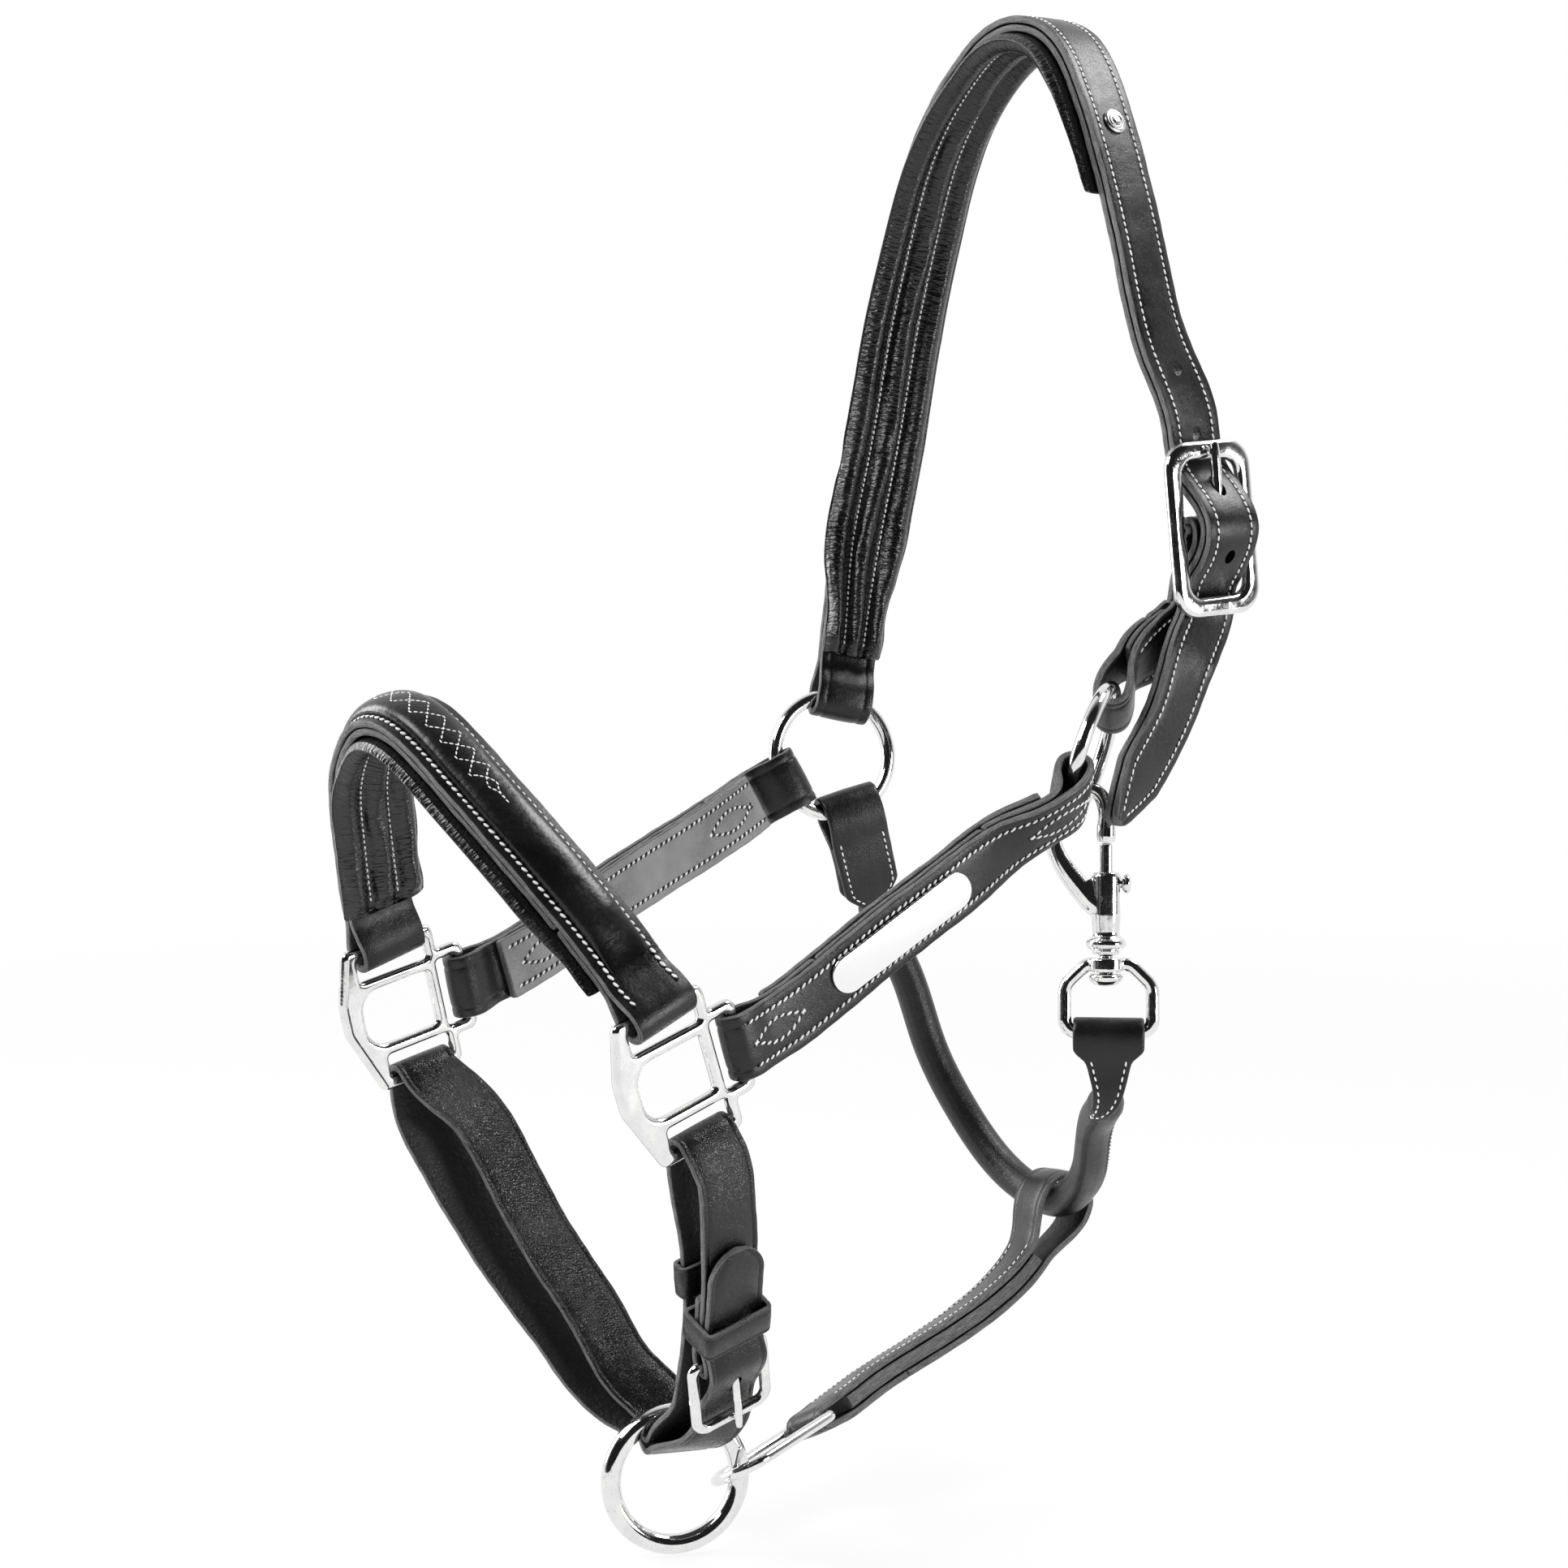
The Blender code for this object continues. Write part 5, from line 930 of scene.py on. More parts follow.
path = foldedEnd(0.0, 1, ringFold, turnBack, -crownOut, crownOut, ringSlack)
outer = layOn(crown, path + level(15.0, crown.length, crownOut)[1:], pitch=1.3)
under = layOn(crown, level(turnBack + 1.5, crown.length, -crownOut), pitch=1.3)
holes = []
for k in (-2, -1, 1, 2):
    place, along, across, face = crown.frame(prongRun + k * crownLook["holePitch"])
    holes.append((Seat(place, along, face), *crownLook["hole"]))
holes.append((Seat(buckle.at(prongReach, 0.0, 5.5), buckle.normal, buckle.first), *crownLook["prongHole"]))
strap("crown_strap", outer, billetWidth(outer), plyEdge(ply["strap"], rows=crownLook["rowInset"]),
      cuts=[holes])
strap("crown_lining", under, billetWidth(under), plyEdge(ply["strap"]), cuts=[holes])
padStop = crown.nearest((65, 34, 230))
sew("crownStitches", rowsOn(outer, ringTurn + 12.0, outer.travel[-1] - 6.0, billetRow(outer), halfPly)
    + rowsOn(under, padStop - turnBack + 4.0, under.travel[-1] - 6.0, billetRow(under), halfPly, face=-1))
print("crown made")


# noseband

noseLook = {"raisedWidth": 19.0, "raisedHeight": 5.0, "raisedFrom": 20.0, "padFrom": 17.0, "padWidth": 37.0,
            "padThickness": 8.5, "padThin": 45.0, "rowAt": 10.4, "pitch": 3.1, "figureHalf": 4.6,
            "figurePitch": 17.0, "figureFrom": 78.0, "figureTo": 163.0}
noseMiddle = unit((0.0, -0.31, 0.95))
nosePoints = [
    ((-71.5, -237.0, -44.0), (-1.0, 0.0, 0.1)), ((-67.5, -242.5, -21.0), (-0.95, 0.3)),
    ((-60.0, -248.5, 1.0), (-0.85, 0.5)), ((-47.0, -253.0, 17.0), (-0.6, 0.8)),
    ((-32.0, -255.0, 27.0), (-0.2, 1.0)), ((-15.0, -254.0, 27.0), (0.1, 1.0)),
    ((-2.0, -251.0, 20.0), (0.5, 0.87)), ((11.0, -247.0, 9.0), (0.63, 0.77)),
    ((26.0, -241.5, -5.0), (0.68, 0.72)), ((40.5, -234.0, -21.0), (0.74, 0.66)),
    ((53.0, -225.0, -38.0), (0.8, 0.6)), ((64.0, -215.5, -56.0), (0.83, 0.55)),
    (nearPorts["nose"], (0.85, 0.5))]
# a face of two numbers is so much to the side and so much to the nose's top
nose = StrapLine([(offPorts["nose"], (-1.0, 0.0, 0.0))] + [
    (place, face if len(face) == 3 else np.array((face[0], 0.0, 0.0)) + face[1] * noseMiddle)
    for place, face in nosePoints])
noseEnd = nose.length
noseOut = (ply["strap"] + gap) / 2
noseFold = barFold + 0.5
noseLay = layOn(nose, foldedBoth(noseEnd, noseFold, noseFold, -noseOut, noseOut))
strap("noseband_strap", noseLay, wide["nose"], plyEdge(ply["strap"], crown=0.0))
strap("noseband_lining", layOn(nose, level(noseEnd - turnBack - 1.5, turnBack + 1.5, -noseOut)), wide["nose"],
      plyEdge(ply["strap"], crown=0.0))

# a domed strip of soft leather over a cord-like filling, thin at its stitched edges
raisedHalf, raisedRise = noseLook["raisedWidth"] / 2, noseLook["raisedHeight"] - 0.7
raisedLay = layOn(nose, level(noseLook["raisedFrom"], noseEnd - noseLook["raisedFrom"],
                              noseOut + halfPly + gap * 0.4, 1.2), pitch=1.2)
travel = raisedLay.travel
full = 0.3 + 0.7 * ease(np.minimum(travel, travel[-1] - travel) / 22.0)
angles = np.linspace(0, np.pi, 26)
lift = 0.9 + raisedRise * (np.sin(angles) ** 0.75)[None] * full[:, None]
lift = lift - 0.10 * np.sin(travel * 2 * np.pi / noseLook["pitch"])[:, None] * np.cos(angles)[None] ** 6
across = np.concatenate([-np.cos(angles) * raisedHalf, [raisedHalf * 0.96, 0.0, -raisedHalf * 0.96]])
height = np.concatenate([lift, np.zeros((len(travel), 3))], axis=1)
raised = loft("nosebandRaised", raisedLay.spread(np.broadcast_to(across, height.shape), height), travel,
              raisedLeather, 75)
finish(raised, "noseband_raised")

# two zigzags that cross into a row of plain diamonds, drawn in at both ends
travel = np.arange(noseLook["figureFrom"], noseLook["figureTo"], 1.0)
share = (travel - travel[0]) / (travel[-1] - travel[0])
wave = 2 * np.abs(((travel - travel[0]) / noseLook["figurePitch"]) % 1.0 - 0.5) * 2 - 1
wave *= noseLook["figureHalf"] * ease(np.minimum(share, 1 - share) * 5)
lift = 0.85 + raisedRise * np.sin(np.arccos(np.clip(wave / raisedHalf, -1, 1))) ** 0.75
figure = [raisedLay.surface(travel, sign * wave, lift) for sign in (1, -1)]
leadIn = turnBack + math.pi * noseFold / 2 + 16.0
rows = rowsOn(noseLay, leadIn, noseLay.travel[-1] - leadIn, noseLook["rowAt"], halfPly + 0.25)
sew("nosebandStitches", rows, pitch=noseLook["pitch"], length=2.8, thick=1.25, slant=0.36, hole=2.0)
sew("nosebandFigure", figure, pitch=2.1, length=1.8, thick=0.62, slant=0.05, hole=0.7)
print("noseband made")


# soft pads: three rolls between sewn channels, blown up by the cloth solver

padLook = {"rolls": 3, "pitch": 1.7, "pressure": 4.0, "slack": 0.03, "stiffness": 0.6, "cap": 1.0,
           "frames": 20, "channel": 0.09, "seamPitch": 2.4}


def inflate(piece, held, count):
    # the channels and the seat stay put, the skin between them grows, swells and puckers
    mesh = piece.data
    rows = len(mesh.vertices) // count
    start = np.empty(len(mesh.vertices) * 3)
    mesh.vertices.foreach_get("co", start)
    group = piece.vertex_groups.new(name="sewn")
    pinned = [k for k in range(rows * count) if k % count in held or k // count in (0, rows - 1)]
    group.add(pinned, 1.0, "REPLACE")
    cloth = piece.modifiers.new("swell", "CLOTH")
    for label, value in {"vertex_group_mass": "sewn", "quality": 5, "mass": 0.12, "tension_stiffness": 12.0,
                         "compression_stiffness": 6.0, "bending_stiffness": padLook["stiffness"],
                         "use_pressure": True, "uniform_pressure_force": padLook["pressure"],
                         "shrink_min": -padLook["slack"]}.items():
        setattr(cloth.settings, label, value)
    cloth.settings.effector_weights.gravity = 0.0
    cloth.collision_settings.use_collision = cloth.collision_settings.use_self_collision = False
    for step in range(1, padLook["frames"] + 1):
        bpy.context.scene.frame_set(step)
    moved = np.empty_like(start)
    graph = bpy.context.evaluated_depsgraph_get()
    piece.evaluated_get(graph).data.vertices.foreach_get("co", moved)
    shift = (moved - start).reshape(-1, 3)
    size = np.linalg.norm(shift, axis=1, keepdims=True)
    shift *= np.minimum(1.0, padLook["cap"] * mm / np.maximum(size, 1e-9))
    piece.modifiers.remove(cloth)
    bpy.context.scene.frame_set(1)
    mesh.vertices.foreach_set("co", start + softened(shift.reshape(rows, count, 3), 6).ravel())
    mesh.update()
    print(piece.name, "swelled by up to", round(float(size.max()) * 1000, 2), "mm")


def pad(nodeName, line, start, stop, top, widthAt, thickness, thinEnd):
    name, rolls, floor = pieceName(nodeName), padLook["rolls"], padLook["channel"]
    lay = layOn(line, level(start, stop, top, padLook["pitch"]), pitch=padLook["pitch"], soften=0)
    travel, half = lay.travel, widthAt(lay.travel + start) / 2
    full = 0.55 + 0.45 * ease(np.minimum(travel, travel[-1] - travel) / 8.0)
    full *= 0.3 + 0.7 * ease((travel[-1] - travel) / thinEnd)
    oneRoll = np.array([0.0, floor / 2, floor, 0.16, 0.25, 0.37, 0.5, 0.63, 0.75, 0.84, 1 - floor,
                        1 - floor / 2])
    share = np.append(np.concatenate([(roll + oneRoll) / rolls for roll in range(rolls)]), 1.0)
    swell = np.sin(np.pi * np.clip(((share * rolls) % 1.0 - floor) / (1 - 2 * floor), 0, 1)) ** 0.7
    depth = thickness * 0.42 + (thickness * 0.95 - thickness * 0.42) * swell
    across = half[:, None] * np.concatenate([[0.96, 0.5, 0.0, -0.5, -0.96], -1 + 2 * share])
    height = np.concatenate([np.zeros((len(travel), 5)), -depth[None] * full[:, None]], axis=1)
    piece = loft(name, lay.spread(across, height), travel, padLeather, 75)
    held = set(range(5)) | {5 + len(oneRoll) * k + step for k in range(1, rolls) for step in range(-2, 3)}
    inflate(piece, held, across.shape[1])
    soften = piece.modifiers.new("smooth", "SUBSURF")
    soften.levels = soften.render_levels = 1
    piece = finish(settle(piece), nodeName)
    seams = []
    for sign in (1, -1):
        seamRuns = np.arange(6.0, travel[-1] - 6.0, 1.5)
        place, out = lay.surface(seamRuns, sign * np.interp(seamRuns, travel, half) / 3, -thickness * 0.45)
        seams.append(onSkin(piece, place, -out, 0.15))
    pitch = padLook["seamPitch"]
    sew(name + "Stitches", seams, pitch=pitch, length=pitch * 0.75, slant=0.1, hole=0.8)


def crownPadWidth(run):
    return crownLook["padWidth"] - 10.5 * (1 - ease((run - crownLook["padStart"]) / 60.0))


pad("crown_pad", crown, crownLook["padStart"], padStop, -crownOut - halfPly - 2 * gap, crownPadWidth,
    crownLook["padThickness"], crownLook["padThin"])
pad("noseband_pad", nose, noseLook["padFrom"], noseEnd - noseLook["padFrom"], -noseOut - halfPly - 2 * gap,
    lambda run: np.full(np.shape(run), noseLook["padWidth"]), noseLook["padThickness"], noseLook["padThin"])
print("pads made")


# buckle chape

chapeLook = {"flat": 12.0, "from": 36.0, "to": 48.0, "slot": (26.0, 6.4, 20.0), "join": 0.64, "rowAt": 8.5}
chapeWay = squareTo((-0.15, 0.59, 0.79), nearRing.normal)
chapeEnd = nearRing.centre + chapeWay * ringRadius
chape = StrapLine([(buckle.at(run, 0.0, drop), buckle.normal) for run, drop in
                   ((0.0, 0.0), (7.0, -1.6), (14.0, -6.4), (22.0, -12.0), (32.0, -15.8))]
                  + [((82.4, 39.0, 50.0), (0.98, 0.02, -0.02)), (chapeEnd + chapeWay * 13.0, nearRing.normal),
                     (chapeEnd, nearRing.normal)])
chapeFold = 2.5 + gap + halfPly


def chapeSide(sign):
    close, far = sign * crownOut, sign * stack
    start, flat, end = (2.0, sign * chapeFold), (chapeLook["flat"], close), (chapeLook["to"], far)
    path = [start, *sloped(start, flat), flat, *level(chapeLook["flat"], chapeLook["from"], close)[1:]]
    return path + sloped((chapeLook["from"], close), end) + [end]


joinAt = chapeLook["join"] * chape.length
path = level(chapeLook["to"], joinAt, -stack)[:0:-1] + chapeSide(-1)[::-1] + fold(0.0, 1, chapeFold)
path += chapeSide(1) + level(chapeLook["to"], chape.length - 15.0, stack)[1:-1]
path += foldedEnd(chape.length, -1, ringFold, joinAt + 1.0, -stack, stack, ringSlack)[::-1]
lay = layOn(chape, path)
strap("buckle_chape", lay, wide["strap"], plyEdge(ply["strap"], rows=4.0),
      cuts=[[(Seat(buckle.at(1.0), buckle.first, buckle.normal), *chapeLook["slot"])]])
strap("chape_filler", layOn(chape, level(chapeLook["to"] + 2.0, chape.length - 16.0, 0.0)),
      wide["strap"] - 0.4, plyEdge(ply["filler"]))
turnAt = lay.nearest(chapeEnd)
sew("chapeStitches", rowsOn(lay, 22.0, 42.0, chapeLook["rowAt"], halfPly)
    + rowsOn(lay, turnAt - 44.0, turnAt - 20.0, chapeLook["rowAt"], halfPly))
print("chape made")


# chin strap and keepers

chinLook = {"buckleLength": 31.0, "buckleWidth": 36.0, "prongHole": (6.0, 4.4, 17.0),
            "heelSlot": (12.6, 5.2, 11.6), "keeperWall": 1.8}
buckleWay = unit((-0.32, 0.315, -0.89))
chinBuckle = Seat((52.0, -158.6, -226.1), buckleWay, (0.93, 0.0, -0.34))
heel = -chinLook["buckleLength"] / 2
heelPlace = chinBuckle.at(heel)
heelFold = wire["chinBuckle"] / 2 + gap + ply["chin"] / 2
chinOut = (ply["chin"] + gap) / 2
front = StrapLine([
    (heelPlace, chinBuckle.normal), (heelPlace - buckleWay * 12.0, chinBuckle.normal),
    ((66.0, -170.8, -192.0), (0.93, 0.02, -0.30)), ((75.0, -176.3, -173.0), (0.95, 0.03, -0.25)),
    ((80.5, -180.0, -153.0), (0.99, 0.03, -0.10)), ((81.5, -182.5, -137.0), (0.99, 0.03, 0.10))])


def leg(*pairs, flip=1):
    # points beside the front leg, each (run, height)
    return [(front.point(run, 0.0, height), front.frame(run)[3] * flip) for run, height in pairs]


def arc(centre, first, second, radius, start, stop, steps=6, look=1):
    angles = [math.radians(start + (stop - start) * k / steps) for k in range(steps + 1)]
    ways = [first * math.cos(angle) + second * math.sin(angle) for angle in angles]
    return [(centre + way * radius, way * look) for way in ways]


chinFold = barHalf + ply["chin"] / 2
ringPass = wire["chinRing"] / 2 + drawIn(ringRadius, wide["chin"]) + 3 * gap + ply["chin"] / 2
ringTop = chinRing.at(ringRadius)
offFace = squareTo((0.88, 0.0, 0.42), offSquare.first)
chinPoints = leg((34.0, -chinOut), (22.0, -chinOut), (11.0, -1.9), flip=-1)
chinPoints += arc(heelPlace, chinBuckle.first, chinBuckle.normal, heelFold, -90, 90)
chinPoints += leg((11.0, 1.9), (22.0, chinOut), (36.0, chinOut), (48.0, 0.8), (60.0, 0.0), (72.0, 0.0),
                  (front.length, 0.0))
chinPoints += arc(nearPorts["chin"], nearSquare.normal, nearSquare.second, chinFold, 15, 165)
chinPoints += [
    ((66.5, -184.5, -137.0), (-0.97, -0.03, 0.2)), ((63.5, -179.0, -153.0), (-0.95, -0.03, 0.25)),
    ((58.0, -172.0, -174.0), (-0.93, -0.02, 0.33)), ((50.0, -165.5, -198.0), (-0.93, 0.0, 0.33)),
    ((39.0, -159.5, -222.0), (-0.88, 0.1, 0.45)), ((25.5, -155.0, -244.0), (-0.82, 0.2, 0.55))]
chinPoints += arc(ringTop, chinRing.normal, chinRing.first, ringPass, -42, -152, look=-1)
chinPoints += [
    ((-18.5, -154.0, -239.0), (0.88, -0.18, 0.42)), ((-31.0, -161.0, -218.5), (0.91, -0.10, 0.40)),
    ((-44.0, -172.0, -193.0), (0.92, -0.06, 0.38)), ((-57.0, -185.5, -159.0), (0.92, -0.06, 0.38)),
    ((-66.0, -199.0, -132.0), (0.92, -0.06, 0.38))]
chinPoints += arc(offPorts["chin"], offFace, np.cross(offFace, offSquare.first), chinFold, 5, 160)
chinPoints += [
    ((-80.0, -212.5, -132.0), (-0.98, 0.05, -0.15)), ((-77.0, -207.5, -147.0), (-0.95, 0.05, -0.28)),
    ((-69.5, -197.0, -171.0), (-0.93, 0.06, -0.36)), ((-57.5, -184.0, -199.0), (-0.91, 0.08, -0.42)),
    ((-42.5, -170.0, -226.0), (-0.86, 0.12, -0.50)), ((-22.0, -157.0, -250.0), (-0.70, 0.22, -0.68))]
secondPass = ringPass + ply["chin"] + 2 * gap + 1.0
chinPoints += arc(ringTop, chinRing.normal, chinRing.first, secondPass, -130, -60, 4)
chinPoints += [((28.5, -153.5, -255.0), (0.60, -0.10, -0.78)),
               (chinBuckle.at(heel + 39.5, -1.0, -7.0), (0.82, -0.06, -0.54))]
chinPoints += [(chinBuckle.at(heel + run, 0.0, height), chinBuckle.normal) for run, height in
               ((31.0, -4.8), (23.0, -2.6), (15.5, 1.4), (8.0, 5.4), (0.0, 7.6))]
chinPoints += leg((8.0, 6.1), (16.0, 5.1), (26.0, 5.0), (36.0, 5.0), (46.0, 5.0), (55.0, 4.7))
chin = StrapLine(chinPoints, 2400)
lay = layOn(chin, level(0.0, chin.length, 0.0, 1.2), pitch=1.2, soften=0)
tip = wide["chin"] / 2
left = np.clip(lay.travel[-1] - lay.travel, 0, tip)
chinRise = wire["chinBuckle"] / 2 + gap + 1.6
prongHole = (Seat(chinBuckle.at(heel + 8.5, 0.0, chinRise + 0.5), chinBuckle.normal, buckleWay),
             *chinLook["prongHole"])
heelSlot = (Seat(chinBuckle.at(heel - 0.4), buckleWay, chinBuckle.normal), *chinLook["heelSlot"])
strap("chin_strap", lay, np.maximum(2.0, wide["chin"] * np.sqrt(1 - (1 - left / tip) ** 2)),
      plyEdge(ply["chin"], crease=2.4, crown=0.1), grainedLeather, cuts=[[prongHole], [heelSlot]])


def keeper(nodeName, body, line, run, low, high, length):
    # a loop of leather: its section runs across the loop's own width
    place, along, across, face = line.frame(run)
    centre, wall = place + face * (low + high) / 2, chinLook["keeperWall"]
    outline = rounded(box((wide["chin"] + 1.2 + wall) / 2, (high - low + wall) / 2, 1.6))
    outline = np.array(outline + outline[:1])
    steps = travelOf(outline)
    fine = np.linspace(0, steps[-1], 90, endpoint=False)
    x, y = readRows(outline, steps, fine).T
    middle = centre + across * x[:, None] + face * y[:, None]
    alongRows = np.broadcast_to(along, middle.shape)
    loop = Lay(middle, alongRows, fine, closed=True)
    if np.mean(np.sum(loop.out * (middle - centre), axis=1)) < 0:
        loop = Lay(middle[::-1], alongRows, fine, closed=True)
    finish(sweep(pieceName(nodeName), loop, length, plyEdge(wall, crease=2.0, crown=0.15, soft=0.5),
                 grainedLeather, closed=True, uneven=0.03), nodeName, body)


keeper("chin_fixed_keeper", "halter", front, 18.5, -5.6, 8.6, 13.0)
keeper("chin_sliding_keeper", "sliding_keeper", chin, chin.nearest((57.0, -171.3, -178.3)), -2.2, 2.2, 14.0)
print("chin strap made")


# connector and rolled throat

throatLook = {"roll": 15.0, "tabLength": 46.0, "flap": 40.0, "eyeDrop": -60.5, "grooveDepth": 0.7}
connectorLook = {"flat": 13.0, "rollFlat": 27.0, "rowAt": 7.6, "join": 0.3}
linkHold = chinRing.at(1.0, -ringRadius)
linkRear = np.array((9.0, -84.5, -265.5))
linkWay = unit(linkRear - linkHold)
linkFront = linkHold - linkWay * (wire["chinRing"] / 2 + wire["link"] / 2 + 0.9)
link = Seat((linkFront + linkRear) / 2, linkWay, (-0.42, -0.26, 0.87))
throatWay = squareTo((0.04, 0.26, -0.965), offRing.normal)
throatStart = offRing.centre + throatWay * ringRadius
eyeDrop = throatLook["eyeDrop"]
eyeBar = snap.at(eyeDrop, -1.0)
throat = StrapLine([
    (throatStart, offRing.normal), (throatStart + throatWay * 16.0, offRing.normal),
    ((-78.5, 21.0, -74.0), (0.93, -0.3, 0.15)), ((-74.0, 35.0, -103.0), (0.93, -0.3, 0.2)),
    ((-67.0, 43.0, -135.0), (0.9, -0.3, 0.3)), ((-54.0, 50.5, -163.0), (0.8, -0.3, 0.5)),
    ((-29.0, 57.0, -189.0), (0.6, -0.3, 0.75)), ((0.0, 57.0, -195.5), (0.2, -0.4, 0.9)),
    ((24.0, 48.5, -185.0), (0.1, -0.5, 0.85)), ((50.0, 31.0, -165.0), (0.2, -0.7, 0.6)),
    ((73.0, 12.5, -142.0), (0.4, -0.8, 0.4)), (eyeBar - snap.first * 22.0 - snap.normal * 3.0, snap.normal),
    (eyeBar - snap.first * 10.0, snap.normal), (eyeBar, snap.normal)])
hangRun = throat.nearest((0.0, 57.0, -195.5))
hangPlace, hangAlong, _, _ = throat.frame(hangRun)
hangWay = squareTo((0.0, 19.0, 25.5), hangAlong)
connector = StrapLine([
    (linkRear, link.normal), (linkRear + linkWay * 12.0, link.normal),
    ((3.0, -54.0, -258.0), (-0.42, -0.28, 0.87)), ((1.0, -20.0, -248.0), (-0.40, -0.30, 0.86)),
    ((0.0, 14.0, -236.0), (-0.36, -0.40, 0.82)), ((0.0, 38.0, -221.0), (-0.32, -0.60, 0.72)),
    (hangPlace, -np.cross(hangWay, hangAlong))])
connectorOut = 1.5 * (ply["connector"] + gap)
linkFold = wire["link"] / 2 + gap + ply["connector"] / 2
rollFold = throatLook["roll"] / 2 + 2.5 + gap + ply["connector"] / 2
end = connector.length
flat, flatEnd = connectorLook["flat"], end - connectorLook["rollFlat"]


def connectorSide(sign, start=None, stop=None):
    height = sign * connectorOut
    low, high = (1.5, sign * linkFold), (end - 2.0, sign * rollFold)
    path = [(start, height)] if start else [low, *sloped(low, (flat, height)), (flat, height)]
    path += level(path[-1][0], stop or flatEnd, height)[1:]
    return path if stop else path + [*sloped(path[-1], high, 12), high]


joinAt = connectorLook["join"] * end
path = connectorSide(-1, stop=joinAt)[::-1] + fold(0.0, 1, linkFold) + connectorSide(1)
path += fold(end, -1, rollFold)[::-1] + connectorSide(-1, start=joinAt + 1.0)[::-1]
lay = layOn(connector, path)
strap("connector_strap", lay, wide["connector"], plyEdge(ply["connector"], rows=3.4))
strap("connector_filler", layOn(connector, level(flat + 1.0, flatEnd - 1.0, 0.0)), wide["connector"] - 0.3,
      plyEdge(2 * ply["connector"], soft=0.9))
topStart, topStop = (lay.nearest(connector.point(run, 0.0, connectorOut)) for run in (flat, flatEnd))
seams = []
for start, stop in ((topStart, topStop), (3.0, topStart - math.pi * linkFold - 24.0),
                    (topStop + 82.0, lay.travel[-1] - 3.0)):
    seams += rowsOn(lay, start, stop, connectorLook["rowAt"], ply["connector"] / 2)
sew("connectorStitches", seams)


def ringTabWidth(away):
    return 26.5 - 16.0 * ease((away - 33.0) / 13.0)


def snapTabWidth(away):
    # broad round the eye's bar, then a narrow flap that runs out to a point
    neck = 28.0 - 10.0 * ease((away - 6.5) / 6.0)
    return np.where(away > 12.5, 18.0 - 14.5 * (away - 12.5) / (throatLook["flap"] - 12.5), neck)


def tab(name, at, way, radius, slack, length, widthAt, lift):
    near, mid, late, far = (at + way * length * share for share in (0.45, 0.7, 0.9, 1.0))
    path = [(far, -crownOut), (mid, -crownOut)]
    path += foldedEnd(at, way, radius, near, -crownOut, crownOut, slack)
    path += [(near, crownOut)]
    path += [(run, crownOut + lift * share) for run, share in ((mid, 0.6), (late, 0.9), (far, 1.0))]
    away = np.abs(evenPath(path)[0][:, 0] - at)
    return sweep(name, layOn(throat, path), widthAt(away), plyEdge(ply["strap"]), rollLeather)


# the middle is rolled round a core, the ends open out into stitched tabs
ringTab = tab("ringTab", 0.0, 1, ringFold, ringSlack, throatLook["tabLength"], ringTabWidth, 2.0)
snapTab = tab("snapTab", throat.length, -1, wire["eye"] / 2 + gap + halfPly, 0.0, throatLook["flap"],
              snapTabWidth, 4.5)
runs = np.linspace(30.0, throat.length - 14.0, 150)
radii = 0.25 + 0.75 * ease(np.minimum(runs - runs[0], runs[-1] - runs) / 20.0)
roll = rod([throat.point(run) for run in runs], throatLook["roll"], radii)
throatPiece = cast(join(ringTab, snapTab, roll), 0.6, 3, rollLeather)


def seamWay(runs):
    # the seam looks forward on the near half and turns to the back on the off half
    share = ease((runs - hangRun + 40.0) / 60.0)[:, None]
    aim = share * np.array((1.0, -0.05, 0.08)) + (1 - share) * np.array((-0.5, 0.8, 0.0))
    place, along, _, _ = throat.frames(runs)
    return place, along, units(aim - along * np.sum(aim * along, axis=1, keepdims=True))


def groove(piece, lip, way, depth, width=0.9):
    mesh = piece.data
    points = np.empty(len(mesh.vertices) * 3)
    mesh.vertices.foreach_get("co", points)
    points = points.reshape(-1, 3)
    raw = np.zeros(len(points))
    for first in range(0, len(points), 4000):
        part = slice(first, first + 4000)
        gaps = np.linalg.norm((points[part] / mm)[:, None] - lip[None], axis=2)
        close = np.exp(-(gaps.min(axis=1) / width) ** 2)
        points[part] -= way[np.argmin(gaps, axis=1)] * (close * depth)[:, None] * mm
        raw[part] = close * 0.5
    mesh.vertices.foreach_set("co", points.ravel())
    mesh.attributes.new("rawEdge", "FLOAT", "POINT").data.foreach_set("value", raw)
    mesh.update()


def flapSeam(at, way, first, last, acrossAt, lift):
    # a row on the front of a folded tab, by its distance from the fold
    away = np.arange(first, last, 1.2)
    place, _, across, face = throat.frames(at + way * away)
    place = place + across * acrossAt(away)[:, None] + face * (crownOut + halfPly + lift)
    return onSkin(throatPiece, place, face, 0.1, 9.0)


place, along, way = seamWay(np.linspace(56.0, throat.length - throatLook["flap"] + 2.0, 260))
groove(throatPiece, place + way * throatLook["roll"] / 2, way, throatLook["grooveDepth"])
finish(throatPiece, "throat_strap")
beside = units(way + np.cross(along, way) * 0.2)
seams = [onSkin(throatPiece, place + beside * throatLook["roll"] / 2, beside, 0.1)]
for sign in (1, -1):
    seams.append(flapSeam(0.0, 1, 13.0, 40.0, lambda away: sign * (ringTabWidth(away) / 2 - 3.0), 0.0))
    seams.append(flapSeam(throat.length, -1, 12.0, throatLook["flap"] - 3.0,
                          lambda away: sign * np.maximum(0.4, snapTabWidth(away) / 2 - 2.4), 2.0))
sew("throatStitches", seams, length=2.3, thick=0.75, slant=0.1, hole=0.9)
print("throat and connector made")


# rings, link and chin buckle

